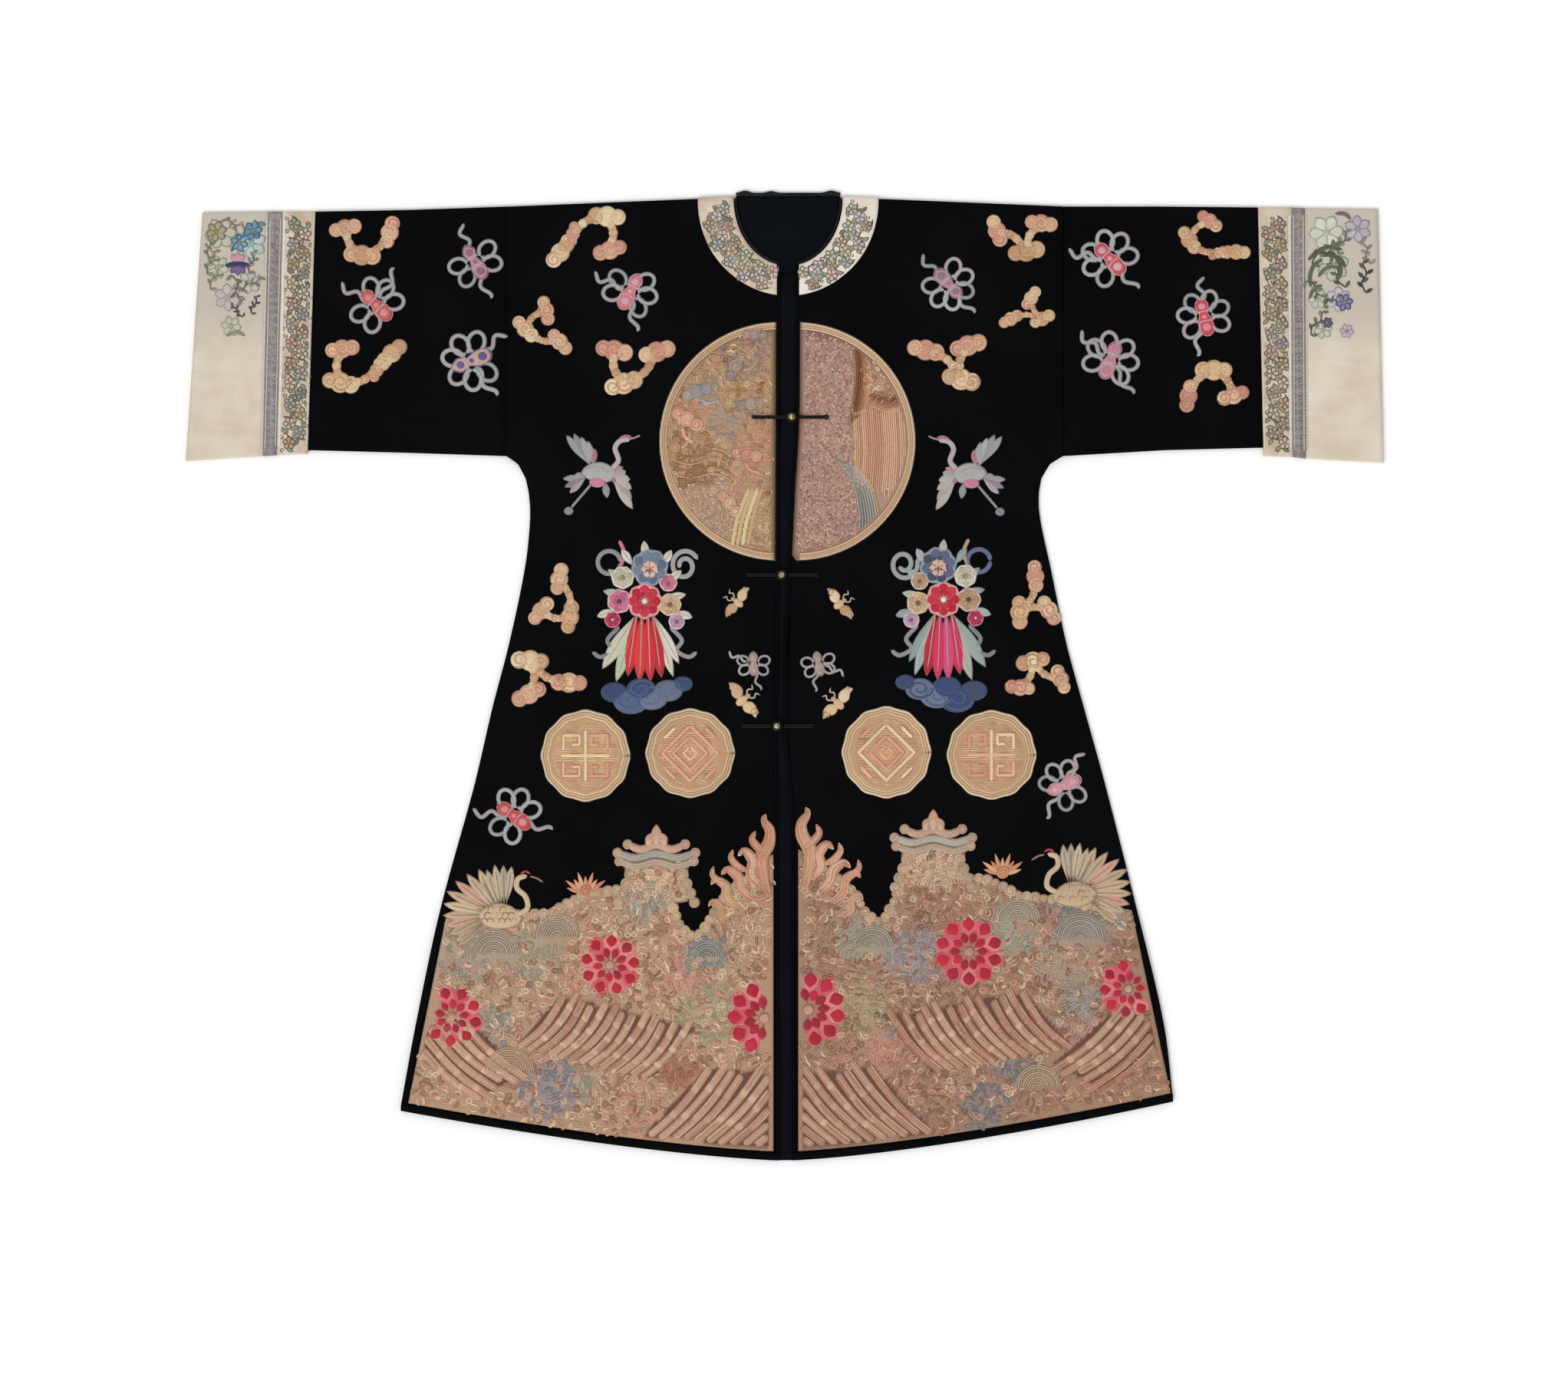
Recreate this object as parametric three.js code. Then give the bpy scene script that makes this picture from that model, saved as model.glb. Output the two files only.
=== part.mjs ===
// A long embroidered robe with a centre opening and wide sleeves, laid flat with its front up.
// Sizes are in millimetres. Seen from above, +X is to the right and +Y runs from hem to neck. +Z is up.
// The origin is at floor level under the middle of the robe.

import * as THREE from "three";

const { clamp, lerp, smoothstep, degToRad } = THREE.MathUtils;

// Driving sizes.
const SPAN = 1420; // from cuff edge to cuff edge
const LENGTH = 1150; // from the back neck edge to the lowest point of the hem
const CLOTH = 1.5; // one layer: satin with its backing and lining
const GAP = 0.3; // between pieces at a seam
const LIFT = 1.6; // air between the back and the front of the robe as it lies
const FOLD_RADIUS = (2 * CLOTH + GAP + LIFT) / 2; // outside radius of the folds along shoulders and sleeves
const TRIM = 1.1; // thickness of bands, bindings and couched embroidery sewn on a layer

const HEM = -LENGTH / 2;
const CUFF = SPAN / 2;
const MIDDLE = 4; // X of the centre back seam and of the neck's centre
const SLEEVE_SEAM = 330; // X of the seam between body and sleeve, on each side
const SHOULDER = 567; // Y of the shoulder fold beside the neck
const SHOULDER_DROP = 11; // how far that fold falls between the neck and the sleeve seam
const BACK_NECK_RISE = 1.7; // the back stands this much above the shoulder fold inside the neck
const NECK = { across: 64, down: 81 }; // half width and depth of the neckline
const COLLAR = { across: 107, down: 117 }; // the same, to the collar band's outer edge
const HEM_POWER = 1.42; // how the hem curves up towards its corners

// Half widths of the body at heights above the middle.
const SIDES = [
  { y: -510, left: 455, right: 461 },
  { y: -412, left: 437, right: 449 },
  { y: -276, left: 408, right: 417 },
  { y: -130, left: 368, right: 380 },
  { y: -36, left: 346, right: 354 },
  { y: 37, left: 327, right: 334 },
  { y: 128, left: 308, right: 315 },
  { y: 184, left: 302, right: 303 },
  { y: 212, left: 303, right: 301 },
  { y: 236, left: 308, right: 305 },
  { y: 250, left: 316, right: 314 },
  { y: 260, left: SLEEVE_SEAM, right: SLEEVE_SEAM },
];
const HEM_CORNER_RISE = { left: 59, right: 70 };

// X of the two front edges. Between the buttons they come together.
const OPENING = [
  { y: HEM, left: -6.4, right: 9 },
  { y: -380, left: -7, right: 8.2 },
  { y: -162, left: -8.2, right: 7 },
  { y: -107, left: -8.6, right: 2.5 },
  { y: -60, left: -8.6, right: -2.6 },
  { y: 29, left: -7.5, right: -0.9 },
  { y: 135, left: -6.4, right: 3.6 },
  { y: 220, left: -6, right: 7.6 },
  { y: 306, left: -5.5, right: 12.6 },
  { y: SHOULDER, left: -5, right: 12.3 },
];

// Lines across each sleeve, from the body seam to the cuff edge. Distances outwards from the middle.
const SLEEVES = {
  left: [
    { topX: SLEEVE_SEAM, topY: 556, lowX: SLEEVE_SEAM, lowY: 260 },
    { topX: 445, topY: 552, lowX: 450, lowY: 264 },
    { topX: 556, topY: 550, lowX: 565, lowY: 267 },
  ],
  right: [
    { topX: SLEEVE_SEAM, topY: 556, lowX: SLEEVE_SEAM, lowY: 260 },
    { topX: 448, topY: 556, lowX: 450, lowY: 267 },
    { topX: 560.5, topY: 555, lowX: 567, lowY: 270 },
  ],
};
const CUFFS = {
  left: [
    { topX: 556, topY: 550, lowX: 565, lowY: 263 },
    { topX: 595, topY: 550, lowX: 602, lowY: 261 },
    { topX: 611.5, topY: 550, lowX: 618, lowY: 260 },
    { topX: 690, topY: 549, lowX: CUFF, lowY: 254 },
  ],
  right: [
    { topX: 560.5, topY: 555, lowX: 567, lowY: 260 },
    { topX: 600.5, topY: 555, lowX: 602, lowY: 259 },
    { topX: 616, topY: 554, lowX: 617.5, lowY: 257 },
    { topX: 703, topY: 553, lowX: CUFF, lowY: 252 },
  ],
};

// Soft folds of the upper layer: middle, direction in degrees, reach along and across, and height.
const FOLDS = [
  { x: -268, y: 290, turn: 38, along: 120, across: 34, height: 0.9 },
  { x: 268, y: 306, turn: -42, along: 120, across: 34, height: 1.0 },
  { x: -452, y: 330, turn: 6, along: 92, across: 36, height: 1.2 },
  { x: 440, y: 356, turn: 22, along: 96, across: 36, height: 1.3 },
  { x: -480, y: 476, turn: -7, along: 80, across: 30, height: 0.8 },
  { x: 470, y: 484, turn: 5, along: 84, across: 30, height: 0.8 },
  { x: -216, y: 440, turn: 16, along: 90, across: 36, height: 0.7 },
  { x: 226, y: 436, turn: -12, along: 84, across: 36, height: 0.8 },
  { x: -176, y: -40, turn: 94, along: 160, across: 38, height: 0.9 },
  { x: 186, y: -20, turn: 86, along: 150, across: 38, height: 0.8 },
  { x: -304, y: -150, turn: 104, along: 140, across: 38, height: 1.0 },
  { x: 304, y: -110, turn: 74, along: 150, across: 38, height: 1.0 },
  { x: -214, y: -420, turn: 98, along: 120, across: 40, height: 0.8 },
  { x: 222, y: -412, turn: 80, along: 120, across: 40, height: 0.9 },
  { x: -366, y: -440, turn: 106, along: 100, across: 38, height: 0.7 },
  { x: 376, y: -430, turn: 74, along: 100, across: 38, height: 0.7 },
];
// The front turns down to the side seam over this width, between these heights.
const SIDE_CURL = { width: 7, low: -300, full: -262, high: 236, end: 256 };

const UNDERLAP = { left: -21, right: 25, top: 477.5, fromHem: 1.5, thick: 1.2 };
const LINING = { thick: 0.8, hidden: 8 }; // it shows inside the neck and goes this far under the fronts
const EDGE_BINDING = 4; // width of the binding down each front edge
const HEM_BINDING = 9;
const VENT_BINDING = { width: 7, top: -318 };
const ROUNDEL = { radius: 141.5, y: 277.5, left: -7.3, right: 13.6 };
const MEDALLION = { radius: 53.5, lobes: 12, lobeDepth: 1.6 };
const MEDALLIONS = [
  { x: -236, y: -95, stretch: 1.03 },
  { x: -112, y: -92, stretch: 1.0 },
  { x: 120.5, y: -91, stretch: 1.03 },
  { x: 245, y: -94, stretch: 1.0 },
];
const BUTTON_RADIUS = 4.5;
const FROG = { wide: 4.4, thick: 2, ring: 2.4, knob: 3 };
const BUTTONS = [
  { x: 8, y: 306, loopEnd: -40, stemEnd: 52 },
  { x: -3.9, y: 119, loopEnd: -46, stemEnd: 40 },
  { x: -9.5, y: -60, loopEnd: -52, stemEnd: 34 },
];
const NECK_FOOT = 480; // a height just below the neckline's lowest point
const NECK_CORD = 1.4; // radius of the binding round the neckline
const NECK_CORD_END = { fromEdge: 1.5, fromShoulder: 0.012 }; // mm from the opening, radians from the fold
const BACK_NECK_CORD = 1.7;
const BACK_NECK_LIFT = 0.7; // from the floor to the back binding's lowest point
// Small puckers that stand up from the back neck binding.
const PUCKERS = [
  { x: -47, wide: 6, rise: 2.6 },
  { x: -16, wide: 6, rise: 2.1 },
  { x: 55, wide: 7, rise: 2.6 },
];
const BACK_NECK_Y = SHOULDER + BACK_NECK_RISE + GAP + BACK_NECK_CORD;

// Crest of the embroidered sea and rocks above the hem: distance from the front edge, and height.
const CREST = [
  { out: 0, y: -176 },
  { out: 12, y: -166 },
  { out: 26, y: -214 },
  { out: 44, y: -262 },
  { out: 62, y: -252 },
  { out: 80, y: -296 },
  { out: 104, y: -304 },
  { out: 120, y: -238 },
  { out: 138, y: -196 },
  { out: 152, y: -174 },
  { out: 172, y: -196 },
  { out: 194, y: -240 },
  { out: 214, y: -232 },
  { out: 234, y: -262 },
  { out: 268, y: -236 },
  { out: 300, y: -224 },
  { out: 336, y: -246 },
  { out: 366, y: -276 },
  { out: 395, y: -284 },
];
const BORDER = {
  left: { inner: -13.5, low: -446, high: -401 },
  right: { inner: 16, low: 457, high: 411 },
};

// A smooth curve through one column of a table, read at a value of its key column.
function curve(table, key, column) {
  const slope = (i) => {
    const before = table[Math.max(i - 1, 0)];
    const after = table[Math.min(i + 1, table.length - 1)];
    return (after[column] - before[column]) / (after[key] - before[key]);
  };
  return (value) => {
    const at = clamp(value, table[0][key], table.at(-1)[key]);
    const next = Math.max(1, table.findIndex((row) => row[key] >= at));
    const [a, b] = [table[next - 1], table[next]];
    const width = b[key] - a[key];
    const t = (at - a[key]) / width;
    const ease = t * t * (3 - 2 * t);
    const bend = slope(next - 1) * t * (1 - t) ** 2 - slope(next) * t * t * (1 - t);
    return a[column] + (b[column] - a[column]) * ease + bend * width;
  };
}

const sideX = { left: curve(SIDES, "y", "left"), right: curve(SIDES, "y", "right") };
const openingX = { left: curve(OPENING, "y", "left"), right: curve(OPENING, "y", "right") };
const crestY = curve(CREST, "out", "y");
const sign = { left: -1, right: 1 };

function shoulderY(x) {
  const share = (Math.abs(x - MIDDLE) - NECK.across) / (SLEEVE_SEAM - NECK.across);
  return SHOULDER - SHOULDER_DROP * clamp(share, 0, 1);
}

// Height of one fold over a point. It is a soft bell along and across the fold's direction.
function foldHeight(fold, x, y) {
  const turn = degToRad(fold.turn);
  const [dx, dy] = [x - fold.x, y - fold.y];
  const along = (dx * Math.cos(turn) + dy * Math.sin(turn)) / fold.along;
  const across = (dy * Math.cos(turn) - dx * Math.sin(turn)) / fold.across;
  return fold.height * Math.exp(-(along ** 2 + across ** 2));
}

const foldsHeight = (x, y) => FOLDS.reduce((sum, fold) => sum + foldHeight(fold, x, y), 0);

// How far the front turns down at its side seam, from the underarm to the vent.
function sideCurl(x, y) {
  const inwards = sideX[x < 0 ? "left" : "right"](y) - Math.abs(x);
  const { low, full, high, end } = SIDE_CURL;
  const stretch = smoothstep(y, low, full) * (1 - smoothstep(y, high, end));
  return LIFT * stretch * (1 - smoothstep(inwards, 0, SIDE_CURL.width));
}

// Z of the underside of the upper layer: it lies on the lower one, lifted by air and folds.
const underZ = (x, y) => CLOTH + GAP + LIFT + foldsHeight(x, y) - sideCurl(x, y);
const topZ = (x, y) => underZ(x, y) + CLOTH;
const trimZ = (x, y) => topZ(x, y) + GAP;

// A point raised above the upper layer's underside. Past the start of the shoulder fold it goes round it.
function onFront(x, y, rise) {
  const start = shoulderY(x) - FOLD_RADIUS;
  if (y <= start) return new THREE.Vector3(x, y, underZ(x, y) + rise);
  const angle = (y - start) / FOLD_RADIUS;
  const radius = FOLD_RADIUS - CLOTH + rise;
  const lift = (foldsHeight(x, start) * (1 + Math.cos(angle))) / 2;
  const [past, up] = [radius * Math.sin(angle), radius * Math.cos(angle)];
  return new THREE.Vector3(x, start + past, FOLD_RADIUS + up + lift);
}

// Turns the faces round if they point inwards, so that a shape may be listed in either direction.
function facingOut(points, faces) {
  const volume = faces.reduce((sum, [a, b, c]) => {
    const normal = new THREE.Vector3().crossVectors(points[b], points[c]);
    return sum + points[a].dot(normal);
  }, 0);
  const geometry = new THREE.BufferGeometry().setFromPoints(points);
  geometry.setIndex(faces.flatMap((face) => (volume < 0 ? face.toReversed() : face)));
  return geometry;
}

// The two triangles of the cell whose corners are four point numbers, in order round it.
const cell = (a, b, c, d) => [[a, b, c], [a, c, d]];

// A closed wall between two grids of points that match. Each grid function takes shares along and across.
function wall(rows, columns, lower, upper) {
  const points = [];
  for (const surface of [lower, upper])
    for (let i = 0; i <= rows; i++)
      for (let j = 0; j <= columns; j++) points.push(surface(i / rows, j / columns));
  const layer = (rows + 1) * (columns + 1);
  const at = (side, i, j) => side * layer + i * (columns + 1) + j;
  const faces = [];
  for (let i = 0; i < rows; i++)
    for (let j = 0; j < columns; j++) {
      faces.push(...cell(at(1, i, j), at(1, i + 1, j), at(1, i + 1, j + 1), at(1, i, j + 1)));
      faces.push(...cell(at(0, i, j), at(0, i, j + 1), at(0, i + 1, j + 1), at(0, i + 1, j)));
    }
  for (let i = 0; i < rows; i++) {
    faces.push(...cell(at(0, i, 0), at(0, i + 1, 0), at(1, i + 1, 0), at(1, i, 0)));
    faces.push(...cell(at(0, i + 1, columns), at(0, i, columns), at(1, i, columns), at(1, i + 1, columns)));
  }
  for (let j = 0; j < columns; j++) {
    faces.push(...cell(at(0, 0, j + 1), at(0, 0, j), at(1, 0, j), at(1, 0, j + 1)));
    faces.push(...cell(at(0, rows, j), at(0, rows, j + 1), at(1, rows, j + 1), at(1, rows, j)));
  }
  return facingOut(points, faces);
}

// A panel of even thickness over a level floor. place gives X and Y.
function flatLayer(rows, columns, place, floor, thick) {
  const at = (z) => (v, u) => new THREE.Vector3(...place(v, u), z);
  return wall(rows, columns, at(floor), at(floor + thick));
}

// A panel or strip that lies a rise above the upper layer's underside.
function frontLayer(rows, columns, place, rise, thick) {
  const at = (height) => (v, u) => onFront(...place(v, u), height);
  return wall(rows, columns, at(rise), at(rise + thick));
}

// A strip sewn on the upper layer.
const trimLayer = (rows, columns, place) => frontLayer(rows, columns, place, CLOTH + GAP, TRIM);

// A patch over the upper layer, flat below and thinner towards its rim. Every corner of its outline can be
// seen from its centre.
function patch(outline, centre, rings) {
  const points = [];
  const count = outline.length;
  const place = (corner, share) => corner.clone().lerp(centre, 1 - share);
  const height = (share) => TRIM * (1 - 0.45 * share ** 4);
  for (const side of [0, 1]) {
    points.push(new THREE.Vector3(centre.x, centre.y, trimZ(centre.x, centre.y) + side * TRIM));
    for (let ring = 1; ring <= rings; ring++)
      for (const corner of outline) {
        const { x, y } = place(corner, ring / rings);
        points.push(new THREE.Vector3(x, y, trimZ(x, y) + side * height(ring / rings)));
      }
  }
  const layerSize = 1 + rings * count;
  const at = (side, ring, k) => side * layerSize + (ring ? 1 + (ring - 1) * count + (k % count) : 0);
  const faces = [];
  for (let k = 0; k < count; k++) {
    faces.push([at(1, 0, 0), at(1, 1, k), at(1, 1, k + 1)]);
    faces.push([at(0, 0, 0), at(0, 1, k + 1), at(0, 1, k)]);
    for (let ring = 1; ring < rings; ring++) {
      faces.push(...cell(at(1, ring, k), at(1, ring + 1, k), at(1, ring + 1, k + 1), at(1, ring, k + 1)));
      faces.push(...cell(at(0, ring, k), at(0, ring, k + 1), at(0, ring + 1, k + 1), at(0, ring + 1, k)));
    }
    faces.push(...cell(at(0, rings, k), at(0, rings, k + 1), at(1, rings, k + 1), at(1, rings, k)));
  }
  return facingOut(points, faces);
}

// A flattened cloth tube through lines across a sleeve. Its lower run is flat on the floor.
function tube(side, lines, steps) {
  const run = 9;
  const arc = 4;
  const stations = [];
  lines.slice(1).forEach((end, n) => {
    for (let i = n ? 1 : 0; i <= steps; i++) {
      const part = (key) => lerp(lines[n][key], end[key], i / steps);
      stations.push({ topX: part("topX"), topY: part("topY"), lowX: part("lowX"), lowY: part("lowY") });
    }
  });
  const ring = (line, inset) => {
    const X = (y) => sign[side] * lerp(line.lowX, line.topX, (y - line.lowY) / (line.topY - line.lowY));
    const halfAt = (y) => (underZ(X(y), y) + CLOTH) / 2;
    const ends = { low: line.lowY + halfAt(line.lowY), top: line.topY - halfAt(line.topY) };
    const points = [];
    const add = (y, z) => points.push(new THREE.Vector3(X(y), y, z));
    const fold = (y, outwards) => {
      const half = halfAt(y);
      for (let k = 1; k <= arc; k++) {
        const angle = (Math.PI * k) / (arc + 1);
        const rise = outwards > 0 ? -Math.cos(angle) : Math.cos(angle);
        add(y + outwards * (half - inset) * Math.sin(angle), half + (half - inset) * rise);
      }
    };
    for (let k = 0; k < run; k++) add(lerp(ends.low, ends.top, k / (run - 1)), inset);
    fold(ends.top, 1);
    for (let k = 0; k < run; k++) {
      const y = lerp(ends.top, ends.low, k / (run - 1));
      add(y, 2 * halfAt(y) - inset);
    }
    fold(ends.low, -1);
    return points;
  };
  const loops = stations.map((line) => ring(line, 0));
  loops.push(...stations.toReversed().map((line) => ring(line, CLOTH)));
  const count = loops[0].length;
  const at = (i, k) => (i % loops.length) * count + (k % count);
  const faces = [];
  for (let i = 0; i < loops.length; i++)
    for (let k = 0; k < count; k++)
      faces.push(...cell(at(i, k), at(i + 1, k), at(i + 1, k + 1), at(i, k + 1)));
  return facingOut(loops.flat(), faces);
}

// A round cord that lies level along a list of places, each with its own radius.
function cord(places) {
  const sides = 8;
  const rings = places.map(({ x, y, z, radius }, i) => {
    const before = places[Math.max(i - 1, 0)];
    const after = places[Math.min(i + 1, places.length - 1)];
    const across = new THREE.Vector3(before.y - after.y, after.x - before.x, 0).normalize();
    return Array.from({ length: sides }, (_, k) => {
      const angle = (2 * Math.PI * k) / sides;
      const out = across.clone().multiplyScalar(radius * Math.cos(angle));
      return new THREE.Vector3(x, y, z + radius * Math.sin(angle)).add(out);
    });
  });
  const points = rings.flat();
  const at = (i, k) => i * sides + (k % sides);
  const faces = [];
  for (let i = 0; i < rings.length - 1; i++)
    for (let k = 0; k < sides; k++)
      faces.push(...cell(at(i, k), at(i + 1, k), at(i + 1, k + 1), at(i, k + 1)));
  for (let k = 1; k < sides - 1; k++) {
    faces.push([at(0, 0), at(0, k), at(0, k + 1)]);
    faces.push([at(rings.length - 1, 0), at(rings.length - 1, k + 1), at(rings.length - 1, k)]);
  }
  return facingOut(points, faces);
}

// Level rows of a body panel from hem to shoulder, closer together at the underarm and the neck.
const ROWS = [
  { from: HEM, to: 176, steps: 12 },
  { from: 176, to: 260, steps: 5 },
  { from: 260, to: 470, steps: 5 },
].flatMap(({ from, to, steps }) => Array.from({ length: steps }, (_, i) => lerp(from, to, i / steps)));
ROWS.push(470);
for (let k = 0; k <= 8; k++) {
  const down = (NECK.down - FOLD_RADIUS) * Math.cos((k / 8) * (Math.PI / 2));
  ROWS.push(SHOULDER - FOLD_RADIUS - down);
}
const FOLD_ROWS = [1, 2, 3, 4].map((k) => SHOULDER - FOLD_RADIUS + (FOLD_RADIUS * Math.PI * k) / 4);

// Columns of the panels, as shares from the middle outwards.
const BACK_COLUMNS = [0, 0.09, 0.172, 0.19, 0.46, 0.73, 1];
const FRONT_COLUMNS = 13;

// Where a body panel's point is, for a level row and a share from the middle outwards.
// Near the hem the rows sweep up with it, and near the shoulder they follow its slope.
function bodyPoint(side, level, u, innerX) {
  const atHem = 1 - smoothstep(level, HEM, -60);
  const outX = sign[side] * sideX[side](level + HEM_CORNER_RISE[side] * atHem);
  const x = lerp(innerX(level), outX, u);
  const sweep = HEM_CORNER_RISE[side] * atHem * Math.abs(x / outX) ** HEM_POWER;
  const slope = (shoulderY(x) - SHOULDER) * smoothstep(level, 440, 560);
  return [x, level + sweep + slope];
}

// Y of the hem under a point.
function hemY(side, x) {
  const out = Math.abs(x) / sideX[side](HEM);
  return HEM + HEM_CORNER_RISE[side] * out ** HEM_POWER;
}

// Inner edge of a front: the opening's edge, and above it the neckline.
function frontInner(side) {
  return (level) => {
    const down = clamp((SHOULDER - level) / NECK.down, 0, 1);
    const neck = MIDDLE + sign[side] * NECK.across * Math.sqrt(1 - down ** 2);
    const edge = openingX[side](level);
    return sign[side] < 0 ? Math.min(neck, edge) : Math.max(neck, edge);
  };
}

function frontPanel(side) {
  const rows = [...ROWS, ...FOLD_ROWS];
  const last = rows.length - 1;
  const inner = frontInner(side);
  const place = (v, u) => {
    const level = rows[Math.round(v * last)];
    const curlStart = 1 - SIDE_CURL.width / (sideX[side](level) - Math.abs(inner(level)));
    const share = u > 1 - 0.5 / FRONT_COLUMNS ? 1 : (u * FRONT_COLUMNS * curlStart) / (FRONT_COLUMNS - 1);
    return bodyPoint(side, level, share, inner);
  };
  return frontLayer(last, FRONT_COLUMNS, place, 0, CLOTH);
}

// The back lies flat on the floor, up to the shoulder fold. Inside the neck it rises a little higher.
function backPanel(side) {
  const seam = () => MIDDLE + (sign[side] * GAP) / 2;
  const last = ROWS.length - 1;
  const columns = BACK_COLUMNS.length - 1;
  const place = (v, u) => {
    const row = Math.round(v * last);
    const column = Math.round(u * columns);
    const [x, y] = bodyPoint(side, ROWS[row], BACK_COLUMNS[column], seam);
    if (row < last) return [x, y];
    return [x, column < 3 ? SHOULDER + BACK_NECK_RISE : y - GAP];
  };
  return flatLayer(last, columns, place, 0, CLOTH);
}

// The band round the neck goes a quarter of the way round the shoulder fold.
function collarBand(side) {
  const edge = openingX[side](470) + sign[side] * (EDGE_BINDING + GAP);
  const [flatRows, foldRows] = [12, 3];
  const place = (v, u) => {
    const row = Math.round(v * (flatRows + foldRows));
    const across = lerp(NECK.across + 0.6, COLLAR.across, u);
    const down = lerp(NECK.down + 0.6, COLLAR.down, u) - FOLD_RADIUS;
    const start = Math.asin(Math.abs(edge - MIDDLE) / across);
    const angle = lerp(start, Math.PI / 2, Math.min(row / flatRows, 1));
    const past = (Math.max(row - flatRows, 0) / foldRows) * FOLD_RADIUS * (Math.PI / 2);
    const x = MIDDLE + sign[side] * across * Math.sin(angle);
    return [x, shoulderY(x) - FOLD_RADIUS - down * Math.cos(angle) + past];
  };
  return trimLayer(flatRows + foldRows, 3, place);
}

function neckCord(side) {
  const inset = NECK_CORD + GAP;
  const edge = openingX[side](NECK_FOOT) + sign[side] * NECK_CORD_END.fromEdge;
  const start = Math.asin(Math.abs(edge - MIDDLE) / (NECK.across - inset));
  const steps = 13;
  return cord(
    Array.from({ length: steps + 1 }, (_, i) => {
      const angle = lerp(start, Math.PI / 2 - NECK_CORD_END.fromShoulder, i / steps);
      const x = MIDDLE + sign[side] * (NECK.across - inset) * Math.sin(angle);
      const y = SHOULDER - (NECK.down - inset) * Math.cos(angle);
      return { x, y, z: underZ(0, NECK_FOOT) + CLOTH + GAP, radius: NECK_CORD };
    }),
  );
}

function backNeckCord() {
  const reach = NECK.across - 2;
  const steps = 26;
  return cord(
    Array.from({ length: steps + 1 }, (_, i) => {
      const x = MIDDLE + lerp(-reach, reach, i / steps);
      const rise = PUCKERS.reduce(
        (sum, pucker) => sum + pucker.rise * Math.exp(-(((x - pucker.x) / pucker.wide) ** 2)),
        0,
      );
      return { x, y: BACK_NECK_Y + rise, z: BACK_NECK_CORD + BACK_NECK_LIFT, radius: BACK_NECK_CORD };
    }),
  );
}

// The lining that shows inside the neck lies on the back, and goes a little way under the fronts.
function neckLining() {
  const low = SHOULDER - NECK.down - LINING.hidden;
  const place = (v, u) => {
    const angle = (v * Math.PI) / 2;
    const y = lerp(low, SHOULDER + BACK_NECK_RISE, 1 - Math.cos(angle));
    const extra = lerp(LINING.hidden, -2, smoothstep(y, 520, 552));
    return [MIDDLE + lerp(-1, 1, u) * Math.max((NECK.across + extra) * Math.sin(angle), 10), y];
  };
  return flatLayer(10, 6, place, CLOTH + GAP, LINING.thick);
}

// The underlap closes the opening from behind, up to the lining.
function underlap() {
  const foot = HEM + UNDERLAP.fromHem;
  const place = (v, u) => [lerp(UNDERLAP.left, UNDERLAP.right, u), lerp(foot, UNDERLAP.top, v)];
  return flatLayer(20, 2, place, CLOTH + GAP, UNDERLAP.thick);
}

function edgeBinding(side) {
  const place = (v, u) => {
    const y = lerp(hemY(side, 10) + HEM_BINDING + 2 * GAP, SHOULDER - NECK.down - NECK_CORD_END.fromEdge, v);
    return [openingX[side](y) + sign[side] * EDGE_BINDING * u, y];
  };
  return trimLayer(36, 1, place);
}

function hemBinding(side) {
  const outer = sign[side] * (sideX[side](HEM) - 1);
  const place = (v, u) => {
    const x = lerp(openingX[side](HEM), outer, v);
    return [x, hemY(side, x) + HEM_BINDING * u + 0.4];
  };
  return trimLayer(18, 1, place);
}

function ventBinding(side) {
  const place = (v, u) => {
    const y = lerp(hemY(side, sideX[side](HEM)) + HEM_BINDING + 2.5, VENT_BINDING.top, v);
    return [sign[side] * (sideX[side](y) - 0.8 - VENT_BINDING.width * u), y];
  };
  return trimLayer(8, 1, place);
}

// Half of the round chest badge. Its straight side follows the front edge.
function roundelHalf(side) {
  const middleX = ROUNDEL[side];
  const straight = (y) => openingX[side](y) + sign[side] * (EDGE_BINDING + GAP);
  const outline = [];
  const [arcSteps, straightSteps] = [24, 8];
  for (let k = 0; k <= arcSteps; k++) {
    const angle = lerp(-Math.PI / 2, Math.PI / 2, k / arcSteps);
    const x = middleX + sign[side] * ROUNDEL.radius * Math.cos(angle);
    const y = ROUNDEL.y + ROUNDEL.radius * Math.sin(angle);
    const kept = sign[side] < 0 ? Math.min(x, straight(y)) : Math.max(x, straight(y));
    outline.push(new THREE.Vector2(kept, y));
  }
  for (let k = 1; k < straightSteps; k++) {
    const y = ROUNDEL.y + lerp(ROUNDEL.radius, -ROUNDEL.radius, k / straightSteps);
    outline.push(new THREE.Vector2(straight(y), y));
  }
  return patch(outline, new THREE.Vector2(middleX + sign[side] * 0.42 * ROUNDEL.radius, ROUNDEL.y), 5);
}

function medallion({ x, y, stretch }) {
  const count = MEDALLION.lobes * 3;
  const outline = Array.from({ length: count }, (_, k) => {
    const angle = (2 * Math.PI * k) / count;
    const radius = MEDALLION.radius - MEDALLION.lobeDepth * (1 - Math.cos(MEDALLION.lobes * angle)) / 2;
    return new THREE.Vector2(x + radius * Math.cos(angle), y + stretch * radius * Math.sin(angle));
  });
  return patch(outline, new THREE.Vector2(x, y), 2);
}

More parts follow.
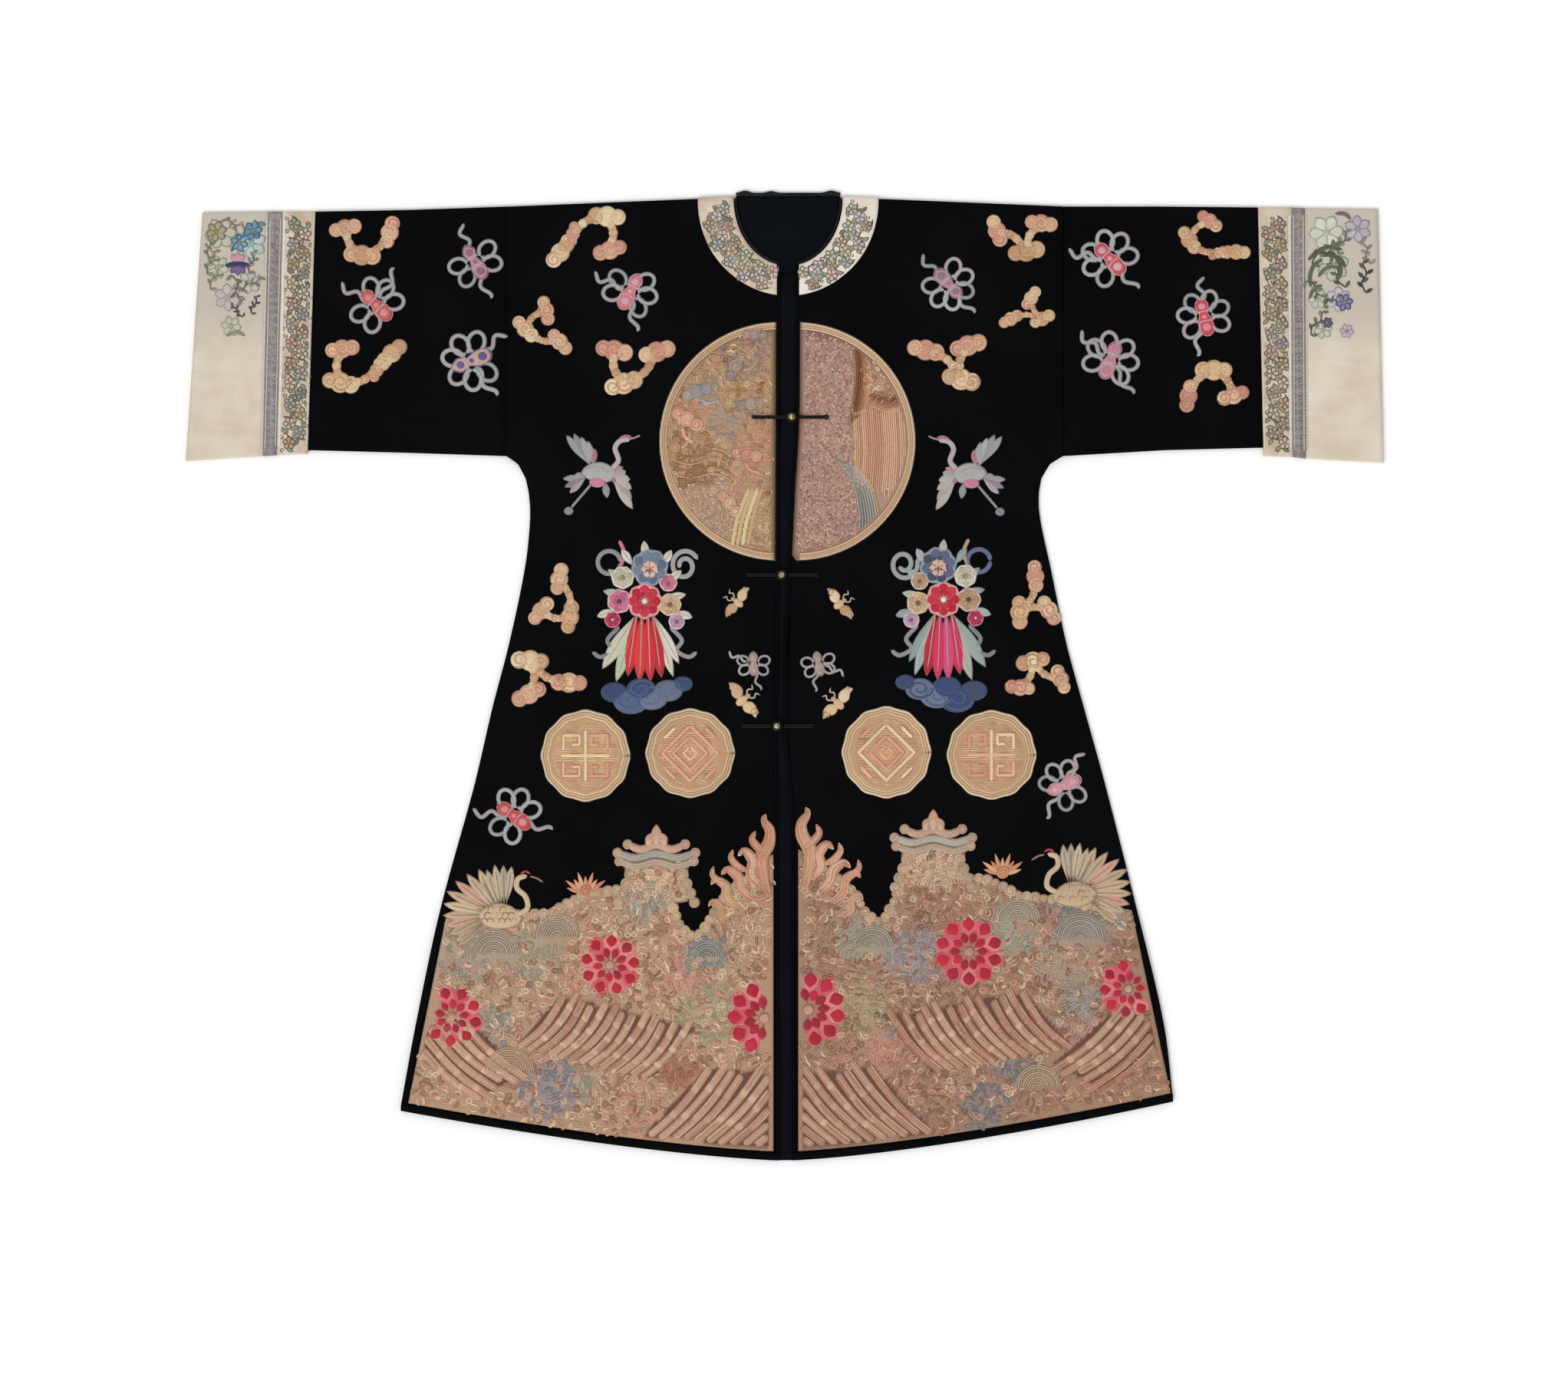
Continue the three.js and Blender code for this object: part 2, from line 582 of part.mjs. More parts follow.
// The embroidered sea and rocks fill the skirt from the hem binding up to their crest.
function seaBorder(side) {
  const { inner, low, high } = BORDER[side];
  const place = (v, u) => {
    const lowX = lerp(inner, low, u);
    const highX = lerp(inner, high, u);
    const lowY = hemY(side, lowX) + HEM_BINDING + 2;
    return [lerp(lowX, highX, v), lerp(lowY, crestY(Math.abs(highX - inner)), v)];
  };
  return trimLayer(4, 44, place);
}

// The frogs' flat parts lie above the edge bindings: a bar with a ring round the button, and one with a knob.
const FROG_Z = underZ(0, 0) + CLOTH + TRIM + 2 * GAP;

function frogLoop(button) {
  const outer = BUTTON_RADIUS + FROG.ring;
  const half = FROG.wide / 2;
  const join = Math.asin(half / outer);
  const shape = new THREE.Shape();
  shape.moveTo(button.loopEnd, -half);
  shape.absarc(button.x, 0, outer, Math.PI + join, 3 * Math.PI - join, false);
  shape.lineTo(button.loopEnd, half);
  shape.lineTo(button.loopEnd, -half);
  shape.holes.push(new THREE.Path().absarc(button.x, 0, BUTTON_RADIUS + 0.1, 0, 2 * Math.PI, true));
  return extruded(shape);
}

function frogStem(button) {
  const half = FROG.wide / 2;
  const start = button.x + BUTTON_RADIUS + FROG.ring + GAP;
  const shape = new THREE.Shape();
  shape.moveTo(start, -half);
  shape.lineTo(button.stemEnd - FROG.knob, -half);
  const join = Math.asin(half / FROG.knob);
  shape.absarc(button.stemEnd - FROG.knob, 0, FROG.knob, -join, join, false);
  shape.lineTo(start, half);
  shape.lineTo(start, -half);
  return extruded(shape);
}

const extruded = (shape) =>
  new THREE.ExtrudeGeometry(shape, { depth: FROG.thick, bevelEnabled: false, curveSegments: 12 });

function ballButton() {
  const profile = Array.from({ length: 8 }, (_, k) => {
    const angle = lerp(-Math.PI / 2, Math.PI / 2, k / 7);
    return new THREE.Vector2(k % 7 ? BUTTON_RADIUS * Math.cos(angle) : 0, BUTTON_RADIUS * Math.sin(angle));
  });
  return new THREE.LatheGeometry(profile, 12).rotateX(Math.PI / 2);
}

const finish = (color, roughness, metalness = 0) =>
  new THREE.MeshStandardMaterial({ color, roughness, metalness });
const MATERIALS = {
  satin: finish(0x0b0b0e, 0.5),
  lining: finish(0x10151f, 0.6),
  couching: finish(0xc6a27c, 0.55),
  bandSilk: finish(0xb9aa9b, 0.6),
  ribbon: finish(0x928b8a, 0.6),
  creamSilk: finish(0xd5cab9, 0.6),
  cord: finish(0x0a0908, 0.7),
  brass: finish(0x8d8360, 0.4, 0.8),
};

const robe = new THREE.Group();
function add(name, geometry, material) {
  const mesh = new THREE.Mesh(geometry, MATERIALS[material]);
  mesh.name = name;
  robe.add(mesh);
  return mesh;
}

for (const side of ["left", "right"]) {
  add(`back_${side}`, backPanel(side), "satin");
  add(`front_${side}`, frontPanel(side), "satin");
  const sleeve = SLEEVES[side].map((line, i) =>
    i ? line : { ...line, topX: line.topX + GAP, lowX: line.lowX + GAP },
  );
  add(`sleeve_${side}`, tube(side, sleeve, 3), "satin");
  const cuffPart = (from, steps) => {
    const start = CUFFS[side][from];
    const inside = { ...start, topX: start.topX + GAP, lowX: start.lowX + GAP };
    return tube(side, [inside, CUFFS[side][from + 1]], steps);
  };
  add(`sleeve_band_${side}`, cuffPart(0, 1), "bandSilk");
  add(`sleeve_ribbon_${side}`, cuffPart(1, 1), "ribbon");
  add(`cuff_${side}`, cuffPart(2, 3), "creamSilk");
  add(`collar_${side}`, collarBand(side), "bandSilk");
  add(`neck_cord_${side}`, neckCord(side), "cord");
  add(`edge_binding_${side}`, edgeBinding(side), "satin");
  add(`hem_binding_${side}`, hemBinding(side), "satin");
  add(`roundel_${side}`, roundelHalf(side), "couching");
  add(`sea_border_${side}`, seaBorder(side), "couching");
}
add("vent_binding_left", ventBinding("left"), "satin");
add("back_neck_cord", backNeckCord(), "cord");
add("neck_lining", neckLining(), "lining");
add("underlap", underlap(), "lining");
MEDALLIONS.forEach((place, i) => add(`medallion_${i + 1}`, medallion(place), "couching"));
BUTTONS.forEach((button, i) => {
  add(`frog_loop_${i + 1}`, frogLoop(button), "cord").position.set(0, button.y, FROG_Z);
  add(`frog_stem_${i + 1}`, frogStem(button), "cord").position.set(0, button.y, FROG_Z);
  const ball = add(`button_${i + 1}`, ballButton(), "brass");
  ball.position.set(button.x, button.y, FROG_Z + BUTTON_RADIUS);
});

export default robe;
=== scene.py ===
"""A long black silk robe with couched and floss embroidery, laid flat with its front up.

Lengths are in millimetres until a mesh is made. +X is to the right, +Y from hem to neck, +Z up.
"""

import math

import bpy
import numpy as np
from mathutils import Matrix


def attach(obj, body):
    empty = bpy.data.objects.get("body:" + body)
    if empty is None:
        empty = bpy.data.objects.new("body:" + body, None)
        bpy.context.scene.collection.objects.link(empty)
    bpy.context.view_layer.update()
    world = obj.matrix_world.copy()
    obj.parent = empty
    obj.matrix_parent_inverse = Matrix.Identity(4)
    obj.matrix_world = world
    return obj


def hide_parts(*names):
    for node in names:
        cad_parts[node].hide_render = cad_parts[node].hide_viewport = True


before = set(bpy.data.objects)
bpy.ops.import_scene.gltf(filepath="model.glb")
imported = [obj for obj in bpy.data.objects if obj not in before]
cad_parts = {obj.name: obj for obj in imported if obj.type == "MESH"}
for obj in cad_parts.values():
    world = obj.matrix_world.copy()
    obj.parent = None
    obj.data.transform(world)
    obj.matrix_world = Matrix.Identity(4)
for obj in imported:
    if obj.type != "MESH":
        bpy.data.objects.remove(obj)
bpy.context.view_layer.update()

# The setting.
# A pale level floor, an even overhead light as in a copying studio, and a camera that looks straight down.
METRES = 0.001
IMAGE_WIDTH_AT_ROBE = 1.860
IMAGE_CENTRE = (-0.0009, -0.0190)
LENS = 85
SENSOR = 36
FLOOR_SIZE = 9.0
FLOOR_BELOW = 0.0003
SKY_STRENGTH = 0.80
SUN = {"strength": 1.05, "width": math.radians(24), "turn": (math.radians(34), math.radians(-26), 0.0)}


def linear(hex_colour):
    """An sRGB hex colour as linear red, green, blue and alpha."""
    channels = [int(hex_colour[i : i + 2], 16) / 255 for i in (1, 3, 5)]
    bent = [c / 12.92 if c <= 0.04045 else ((c + 0.055) / 1.055) ** 2.4 for c in channels]
    return (*bent, 1.0)


def add_node(tree, kind, inputs=None, **settings):
    """Add a node. An input's key is its name or number, and its value a number, a colour or an output."""
    node = tree.nodes.new(kind)
    for key, value in settings.items():
        setattr(node, key, value)
    for key, value in (inputs or {}).items():
        if isinstance(value, bpy.types.NodeSocket):
            tree.links.new(value, node.inputs[key])
        else:
            node.inputs[key].default_value = value
    return node


def start_material(name, **inputs):
    """A new material with its shader's own values set. Returns the material, its tree and the shader."""
    material = bpy.data.materials.new(name)
    material.use_nodes = True
    tree = material.node_tree
    shader = tree.nodes["Principled BSDF"]
    for key, value in inputs.items():
        shader.inputs[key.replace("_", " ")].default_value = value
    return material, tree, shader


def mottle(tree, place, scale, detail, tones, span):
    """A colour that wanders between two tones, and the noise that it follows."""
    noise = add_node(tree, "ShaderNodeTexNoise", {"Vector": place, "Scale": scale, "Detail": detail})
    tone = add_node(tree, "ShaderNodeValToRGB", {"Fac": noise.outputs["Fac"]})
    for element, position, colour in zip(tone.color_ramp.elements, span, tones):
        element.position, element.color = position, linear(colour)
    return tone.outputs["Color"], noise.outputs["Fac"]


def multiply(tree, colour, shade):
    """A colour darkened or lightened by a shade."""
    inputs = {0: 1.0, 6: colour, 7: shade}
    mix = add_node(tree, "ShaderNodeMix", inputs, data_type="RGBA", blend_type="MULTIPLY")
    return mix.outputs[2]


def finish_material(tree, shader, colour, height, strength, distance=0.0003):
    """Link a colour and a relief to the shader."""
    bump = add_node(tree, "ShaderNodeBump", {"Height": height, "Strength": strength, "Distance": distance})
    tree.links.new(bump.outputs["Normal"], shader.inputs["Normal"])
    if colour:
        tree.links.new(colour, shader.inputs["Base Color"])


def make_object(name, points, faces, material, uv=None, colour=None):
    """A smooth mesh object from points in millimetres, with a place on the thread map for each point."""
    mesh = bpy.data.meshes.new(name)
    mesh.from_pydata((np.asarray(points) * METRES).tolist(), [], faces)
    mesh.polygons.foreach_set("use_smooth", np.ones(len(mesh.polygons), dtype=bool))
    corner_points = np.empty(len(mesh.loops), dtype=np.int32)
    mesh.loops.foreach_get("vertex_index", corner_points)
    if uv is not None:
        layer = mesh.uv_layers.new(name="threads")
        layer.data.foreach_set("uv", np.asarray(uv, dtype=np.float32)[corner_points].ravel())
    if colour is not None:
        attribute = mesh.color_attributes.new("dye", "FLOAT_COLOR", "POINT")
        attribute.data.foreach_set("color", np.asarray(colour, dtype=np.float32).ravel())
    mesh.materials.append(material)
    mesh.update()
    piece = bpy.data.objects.new(name, mesh)
    bpy.context.scene.collection.objects.link(piece)
    return piece


paper, _, _ = start_material(
    "white_paper_floor", Roughness=0.9, Specular_IOR_Level=0.1, Base_Color=linear("#fdfdfd")
)
half = FLOOR_SIZE / METRES / 2
corners = [(sx * half, sy * half, -FLOOR_BELOW / METRES) for sx, sy in ((-1, -1), (1, -1), (1, 1), (-1, 1))]
make_object("floor", corners, [(0, 1, 2, 3)], paper)

world = bpy.data.worlds.new("even studio light")
world.use_nodes = True
sky = world.node_tree.nodes["Background"].inputs
sky["Color"].default_value = linear("#ffffff")
sky["Strength"].default_value = SKY_STRENGTH
bpy.context.scene.world = world

sun_light = bpy.data.lights.new("soft_sun", "SUN")
sun_light.energy = SUN["strength"]
sun_light.angle = SUN["width"]
sun = bpy.data.objects.new("soft_sun", sun_light)
sun.rotation_euler = SUN["turn"]
bpy.context.scene.collection.objects.link(sun)

camera_data = bpy.data.cameras.new("overhead_camera")
camera_data.lens = LENS
camera_data.sensor_width = SENSOR
camera_data.clip_end = 50
camera = bpy.data.objects.new("overhead_camera", camera_data)
camera.location = (*IMAGE_CENTRE, IMAGE_WIDTH_AT_ROBE * LENS / SENSOR)
bpy.context.scene.collection.objects.link(camera)
bpy.context.scene.camera = camera
bpy.context.scene.view_settings.view_transform = "Standard"

# The back of the robe.
# Two lengths of black silk satin with a light lining, joined down the middle by a plain seam.
# They lie flat on the floor. The side seams join them to the fronts.
SPAN = 1420
LENGTH = 1150
CLOTH = 1.5
GAP = 0.3
LIFT = 1.6
FOLD_RADIUS = (2 * CLOTH + GAP + LIFT) / 2
HEM = -LENGTH / 2
CUFF = SPAN / 2
MIDDLE = 4
SLEEVE_SEAM = 330
SHOULDER = 567
SHOULDER_DROP = 11
BACK_NECK_RISE = 1.7
NECK = {"across": 64, "down": 81}
HEM_POWER = 1.42
SWEEP_TOP = -60
SLOPE_SPAN = (440, 560)
NECK_SHARE = 0.18
HEM_CORNER_RISE = {"left": 59, "right": 70}
SIGN = {"left": -1, "right": 1}

def rows(names, *values):
    """Rows of a table, as dictionaries with the same names."""
    return [dict(zip(names.split(), row)) for row in values]


def of_side(side, *tables):
    """The rows of some tables that belong to one side."""
    return [row for table in tables for row in table if row["side"] == side]


SIDES = rows(
    "y left right",
    (-510, 455, 461), (-412, 437, 449), (-276, 408, 417), (-130, 368, 380), (-36, 346, 354),
    (37, 327, 334), (128, 308, 315), (184, 302, 303), (212, 303, 301), (236, 308, 305), (250, 316, 314),
    (260, SLEEVE_SEAM, SLEEVE_SEAM),
)


def smooth_curve(table, key, column):
    """A smooth curve through one column of a table, read at values of its key column."""
    keys = np.array([row[key] for row in table], dtype=float)
    values = np.array([row[column] for row in table], dtype=float)
    slopes = np.empty(len(keys))
    slopes[1:-1] = (values[2:] - values[:-2]) / (keys[2:] - keys[:-2])
    slopes[0] = (values[1] - values[0]) / (keys[1] - keys[0])
    slopes[-1] = (values[-1] - values[-2]) / (keys[-1] - keys[-2])

    def read(at):
        at = np.clip(np.asarray(at, dtype=float), keys[0], keys[-1])
        after = np.clip(np.searchsorted(keys, at), 1, len(keys) - 1)
        width = keys[after] - keys[after - 1]
        t = (at - keys[after - 1]) / width
        ease = t * t * (3 - 2 * t)
        bend = slopes[after - 1] * t * (1 - t) ** 2 - slopes[after] * t * t * (1 - t)
        return values[after - 1] + (values[after] - values[after - 1]) * ease + bend * width

    return read


def smooth_step(value, low, high):
    """0 below one value, 1 above another, and an even ease between them."""
    t = np.clip((np.asarray(value, dtype=float) - low) / (high - low), 0, 1)
    return t * t * (3 - 2 * t)


side_x = {side: smooth_curve(SIDES, "y", side) for side in SIGN}


def shoulder_y(x):
    """Y of the shoulder fold, which drops towards the sleeve."""
    share = (np.abs(x - MIDDLE) - NECK["across"]) / (SLEEVE_SEAM - NECK["across"])
    return SHOULDER - SHOULDER_DROP * np.clip(share, 0, 1)


def hem_y(side, x):
    """Y of the hem, which sweeps up towards the side vent."""
    return HEM + HEM_CORNER_RISE[side] * (np.abs(x) / side_x[side](HEM)) ** HEM_POWER


def body_grid(side, levels, shares, inner):
    """X and Y of a body panel's points. Rows sweep up with the hem and follow the shoulder's slope."""
    level, share = np.meshgrid(levels, shares, indexing="ij")
    at_hem = 1 - smooth_step(level, HEM, SWEEP_TOP)
    outer = SIGN[side] * side_x[side](level + HEM_CORNER_RISE[side] * at_hem)
    x = inner(level) + (outer - inner(level)) * share
    sweep = HEM_CORNER_RISE[side] * at_hem * np.abs(x / outer) ** HEM_POWER
    slope = (shoulder_y(x) - SHOULDER) * smooth_step(level, *SLOPE_SPAN)
    return x, level + sweep + slope


def quads(a, b, c, d):
    """Faces from four matching arrays of corners."""
    return np.stack([a, b, c, d], axis=-1).reshape(-1, 4)


def wall_object(name, lower, upper, material, colour=None):
    """A closed wall of cloth between two matching grids. Its thread map is its own X and Y in mm."""
    points = np.concatenate([lower.reshape(-1, 3), upper.reshape(-1, 3)])
    low = np.arange(lower.shape[0] * lower.shape[1]).reshape(lower.shape[:2])
    top = low + low.size
    faces = np.concatenate([
        quads(top[:-1, :-1], top[:-1, 1:], top[1:, 1:], top[1:, :-1]),
        quads(low[:-1, :-1], low[1:, :-1], low[1:, 1:], low[:-1, 1:]),
        quads(low[:-1, 0], top[:-1, 0], top[1:, 0], low[1:, 0]),
        quads(low[1:, -1], top[1:, -1], top[:-1, -1], low[:-1, -1]),
        quads(low[0, 1:], top[0, 1:], top[0, :-1], low[0, :-1]),
        quads(low[-1, :-1], top[-1, :-1], top[-1, 1:], low[-1, 1:]),
    ])
    facing = np.cross(upper[0, 1] - upper[0, 0], upper[1, 0] - upper[0, 0])[2]
    faces = faces[:, ::-1] if facing < 0 else faces
    both = None if colour is None else np.concatenate([colour.reshape(-1, 4)] * 2)
    return make_object(name, points, faces.tolist(), material, uv=points[:, :2], colour=both)


def finish_piece(piece, slot, *nodes):
    """The declarations of a piece: its body and the CAD nodes that it stands for, which are hidden. Its
    slot is not used.
    """
    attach(piece, "root")
    if nodes:
        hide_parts(*nodes)
    return piece


# Black silk satin, woven and dyed: near black with a faint blue cast and a soft broad sheen.
# Real satin has about 40 threads a centimetre. The weave is drawn at 1.4 mm so that it shows at all.
SATIN_WEAVE_MM = 1.4
WAVE_UNIT = 20


def wave_scale(spacing_mm):
    """Scale of a wave texture whose bands lie this far apart. At scale 1 it has 20 radians in a metre."""
    return 2 * math.pi / (spacing_mm * METRES * WAVE_UNIT)


satin, tree, shader = start_material("black_silk_satin", Roughness=0.5, Specular_IOR_Level=0.03)
place = add_node(tree, "ShaderNodeTexCoord").outputs["Object"]
colour, _ = mottle(tree, place, 7.0, 5.0, ("#030304", "#06070a"), (0.35, 0.72))
inputs = {"Vector": place, "Scale": wave_scale(SATIN_WEAVE_MM), "Distortion": 0.4}
weave = add_node(tree, "ShaderNodeTexWave", inputs, bands_direction="DIAGONAL")
slub = add_node(tree, "ShaderNodeTexNoise", {"Vector": place, "Scale": 220.0, "Detail": 3.0})
inputs = {0: weave.outputs["Fac"], 1: slub.outputs["Fac"]}
relief = add_node(tree, "ShaderNodeMath", inputs, operation="ADD")
finish_material(tree, shader, colour, relief.outputs[0], 0.25)

BACK_LEVELS = np.concatenate([np.linspace(HEM, SHOULDER - FOLD_RADIUS - 1, 70), [SHOULDER - FOLD_RADIUS]])
backs = {}
for side, sign in SIGN.items():
    shares = np.concatenate([np.linspace(0, 0.172, 8), np.linspace(0.19, 1, 28)])
    x, y = body_grid(side, BACK_LEVELS, shares, lambda level: np.full_like(level, MIDDLE + sign * GAP / 2))
    y[-1] = np.where(shares < NECK_SHARE, SHOULDER + BACK_NECK_RISE, y[-1] - GAP)
    lower = np.stack([x, y, np.zeros_like(x)], axis=-1)
    backs[side] = wall_object(f"back_cloth_{side}", lower, lower + (0, 0, CLOTH), satin)
    finish_piece(backs[side], "satin", f"back_{side}")

# The neck lining and the underlap.
# A dark navy silk lining shows inside the neck, with the seam of its two halves down the middle.
# An underlap of the same silk closes the opening from behind.
UNDERLAP = {"left": -21, "right": 25, "top": 477.5, "thick": 1.2}
LINING = {"thick": 0.8, "hidden": 8}

navy, tree, shader = start_material("navy_lining_silk", Roughness=0.55, Specular_IOR_Level=0.04)
place = add_node(tree, "ShaderNodeTexCoord").outputs["Object"]
colour, _ = mottle(tree, place, 9.0, 4.0, ("#04060a", "#0a0e16"), (0.3, 0.75))
slub = add_node(tree, "ShaderNodeTexNoise", {"Vector": place, "Scale": 400.0, "Detail": 2.0})
finish_material(tree, shader, colour, slub.outputs["Fac"], 0.2)

turn = np.linspace(0, math.pi / 2, 34)[:, None]
low = SHOULDER - NECK["down"] - LINING["hidden"]
level = low + (SHOULDER + BACK_NECK_RISE - low) * (1 - np.cos(turn))
extra = LINING["hidden"] - (LINING["hidden"] + 2) * smooth_step(level, 520, 552)
half = np.maximum((NECK["across"] + extra) * np.sin(turn), 10)
x = MIDDLE + np.linspace(-1, 1, 41)[None, :] * half
y = level + 0 * x
seam_ridge = 0.35 * np.exp(-(((x - MIDDLE - 1.5) / 1.2) ** 2))
soft = 0.25 * np.sin(x / 9 + y / 23) * np.exp(-(((y - 530) / 30) ** 2))
lower = np.stack([x, y, np.full_like(x, CLOTH + GAP)], axis=-1)
upper = lower + np.stack([0 * x, 0 * x, LINING["thick"] + seam_ridge + np.abs(soft)], axis=-1)
lining = finish_piece(wall_object("neck_lining_silk", lower, upper, navy), "lining", "neck_lining")

across = np.linspace(UNDERLAP["left"], UNDERLAP["right"], 13)
level, x = np.meshgrid(np.linspace(HEM + 1.5, UNDERLAP["top"], 150), across, indexing="ij")
ripple = 0.12 * (1 + np.sin(level / 17 + x / 11))
lower = np.stack([x, level, np.full_like(x, CLOTH + GAP)], axis=-1)
upper = lower + np.stack([0 * x, 0 * x, UNDERLAP["thick"] - 0.1 + ripple], axis=-1)
underlap = finish_piece(wall_object("underlap_silk", lower, upper, navy), "lining", "underlap")

# The fronts.
# One length of the same satin for each side, cut in one with the shoulder, and folded over it to the back.
# The side seams turn down to the back, and below them the vents are open.
OPENING = rows(
    "y left right",
    (HEM, -6.4, 9), (-380, -7, 8.2), (-162, -8.2, 7), (-107, -8.6, 2.5), (-60, -8.6, -2.6),
    (29, -7.5, -0.9), (135, -6.4, 3.6), (220, -6, 7.6), (306, -5.5, 12.6), (SHOULDER, -5, 12.3),
)
SIDE_CURL = {"width": 7, "low": -300, "full": -262, "high": 236, "end": 256}
FOLDS = rows(
    "x y turn along across height",
    (-268, 290, 38, 120, 34, 0.9), (268, 306, -42, 120, 34, 1.0), (-452, 330, 6, 92, 36, 1.2),
    (440, 356, 22, 96, 36, 1.3), (-480, 476, -7, 80, 30, 0.8), (470, 484, 5, 84, 30, 0.8),
    (-216, 440, 16, 90, 36, 0.7), (226, 436, -12, 84, 36, 0.8), (-176, -40, 94, 160, 38, 0.9),
    (186, -20, 86, 150, 38, 0.8), (-304, -150, 104, 140, 38, 1.0), (304, -110, 74, 150, 38, 1.0),
    (-214, -420, 98, 120, 40, 0.8), (222, -412, 80, 120, 40, 0.9), (-366, -440, 106, 100, 38, 0.7),
    (376, -430, 74, 100, 38, 0.7),
)
# Sharper creases, on the fronts, the sleeves and the cuffs.
CREASES = rows(
    "x y turn along across height",
    (-292, 262, 40, 46, 4.5, 1.0), (-276, 236, 52, 38, 4.0, 0.8), (-318, 300, 30, 52, 5.5, 0.9),
    (294, 262, -40, 50, 4.5, 1.1), (272, 240, -55, 40, 4.0, 0.8), (326, 308, -28, 58, 5.5, 1.0),
    (392, 300, 24, 46, 5.0, 1.0), (-420, 296, -8, 54, 5.0, 0.9), (-398, 430, 80, 62, 6.0, 0.5),
    (424, 438, 96, 66, 6.0, 0.6), (-120, 462, 24, 44, 6.0, 0.6), (132, 470, -20, 48, 6.0, 0.6),
    (-92, -60, 92, 110, 6.0, 0.8), (96, -20, 88, 120, 7.0, 0.9), (-262, -10, 98, 90, 6.0, 0.8),
    (244, 10, 84, 96, 6.5, 0.8), (-330, -190, 108, 80, 6.0, 0.7), (332, -150, 72, 84, 6.0, 0.8),
    (-656, 284.5, -3, 46, 2.2, 2.4), (-660, 352, 4, 34, 5.0, 1.3), (-640, 322, 88, 40, 3.5, 1.0),
    (-668, 312, -12, 22, 3.5, 1.2), (668, 372, -5, 30, 3.0, 1.5), (660, 338, 10, 34, 4.0, 1.4),
    (676, 296, 20, 30, 4.0, 1.3), (640, 312, -16, 26, 3.5, 1.2),
)

opening_x = {side: smooth_curve(OPENING, "y", side) for side in SIGN}


def ridges(table, x, y):
    """Height of soft bell-shaped ridges over points."""
    total = np.zeros_like(np.asarray(x, dtype=float) + y)
    for row in table:
        turn = math.radians(row["turn"])
        dx, dy = x - row["x"], y - row["y"]
        along = (dx * math.cos(turn) + dy * math.sin(turn)) / row["along"]
        across = (dy * math.cos(turn) - dx * math.sin(turn)) / row["across"]
        total = total + row["height"] * np.exp(-(along**2 + across**2))
    return total


def under_z(x, y, creased=True):
    """Z of the underside of the upper layer of cloth."""
    x, y = np.asarray(x, dtype=float), np.asarray(y, dtype=float)
    outer = np.where(x < 0, side_x["left"](y), side_x["right"](y))
    stretch = smooth_step(y, SIDE_CURL["low"], SIDE_CURL["full"])
    stretch = stretch * (1 - smooth_step(y, SIDE_CURL["high"], SIDE_CURL["end"]))
    curl = LIFT * stretch * (1 - smooth_step(outer - np.abs(x), 0, SIDE_CURL["width"]))
    height = CLOTH + GAP + LIFT + ridges(FOLDS, x, y) - curl
    if creased:
        below_sleeve = 1 - smooth_step(y, SIDE_CURL["high"], SIDE_CURL["end"])
        at_seam = below_sleeve * (1 - smooth_step(outer - np.abs(x), 1, 14))
        height = height + ridges(CREASES, x, y) * (1 - at_seam)
    return height


def on_cloth(x, y, rise):
    """Points raised above the underside of the upper layer. Past the shoulder fold they go round it."""
    start = shoulder_y(x) - FOLD_RADIUS
    flat_y = np.minimum(y, start)
    base = under_z(x, flat_y)
    angle = np.maximum(y - start, 0) / FOLD_RADIUS
    radius = FOLD_RADIUS - CLOTH + rise
    lift = (base - CLOTH - GAP - LIFT) * (1 + np.cos(angle)) / 2
    on_fold = angle > 0
    z = np.where(on_fold, FOLD_RADIUS + radius * np.cos(angle) + lift, base + rise)
    return np.stack([x, np.where(on_fold, start + radius * np.sin(angle), y), z], axis=-1)


def laid_wall(name, x, y, low, high, material, colour=None):
    """A closed wall of cloth between two heights over the underside of the upper layer."""
    return wall_object(name, on_cloth(x, y, low), on_cloth(x, y, high), material, colour)


def front_inner(side):
    """X of a front's inner edge: the opening, and above it the neckline."""

    def at(level):
        down = np.clip((SHOULDER - level) / NECK["down"], 0, 1)
        neck = MIDDLE + SIGN[side] * NECK["across"] * np.sqrt(1 - down**2)
        edge = opening_x[side](level)
        return np.minimum(neck, edge) if side == "left" else np.maximum(neck, edge)

    return at


down = (NECK["down"] - FOLD_RADIUS) * np.cos(np.linspace(0, math.pi / 2, 24))
neck_levels = SHOULDER - FOLD_RADIUS - down
fold_levels = SHOULDER - FOLD_RADIUS + np.linspace(0, FOLD_RADIUS * math.pi, 10)[1:]
body_levels = [np.linspace(HEM, 176, 120), np.linspace(182, 260, 18), np.linspace(266, 478, 36)]
FRONT_LEVELS = np.concatenate([*body_levels, neck_levels, fold_levels])
FRONT_SHARES = np.concatenate([np.linspace(0, 0.965, 50), np.linspace(0.975, 1, 5)])
fronts = {}
for side in SIGN:
    x, y = body_grid(side, FRONT_LEVELS, FRONT_SHARES, front_inner(side))
    fronts[side] = laid_wall(f"front_cloth_{side}", x, y, 0, CLOTH, satin)
    finish_piece(fronts[side], "satin", f"front_{side}")

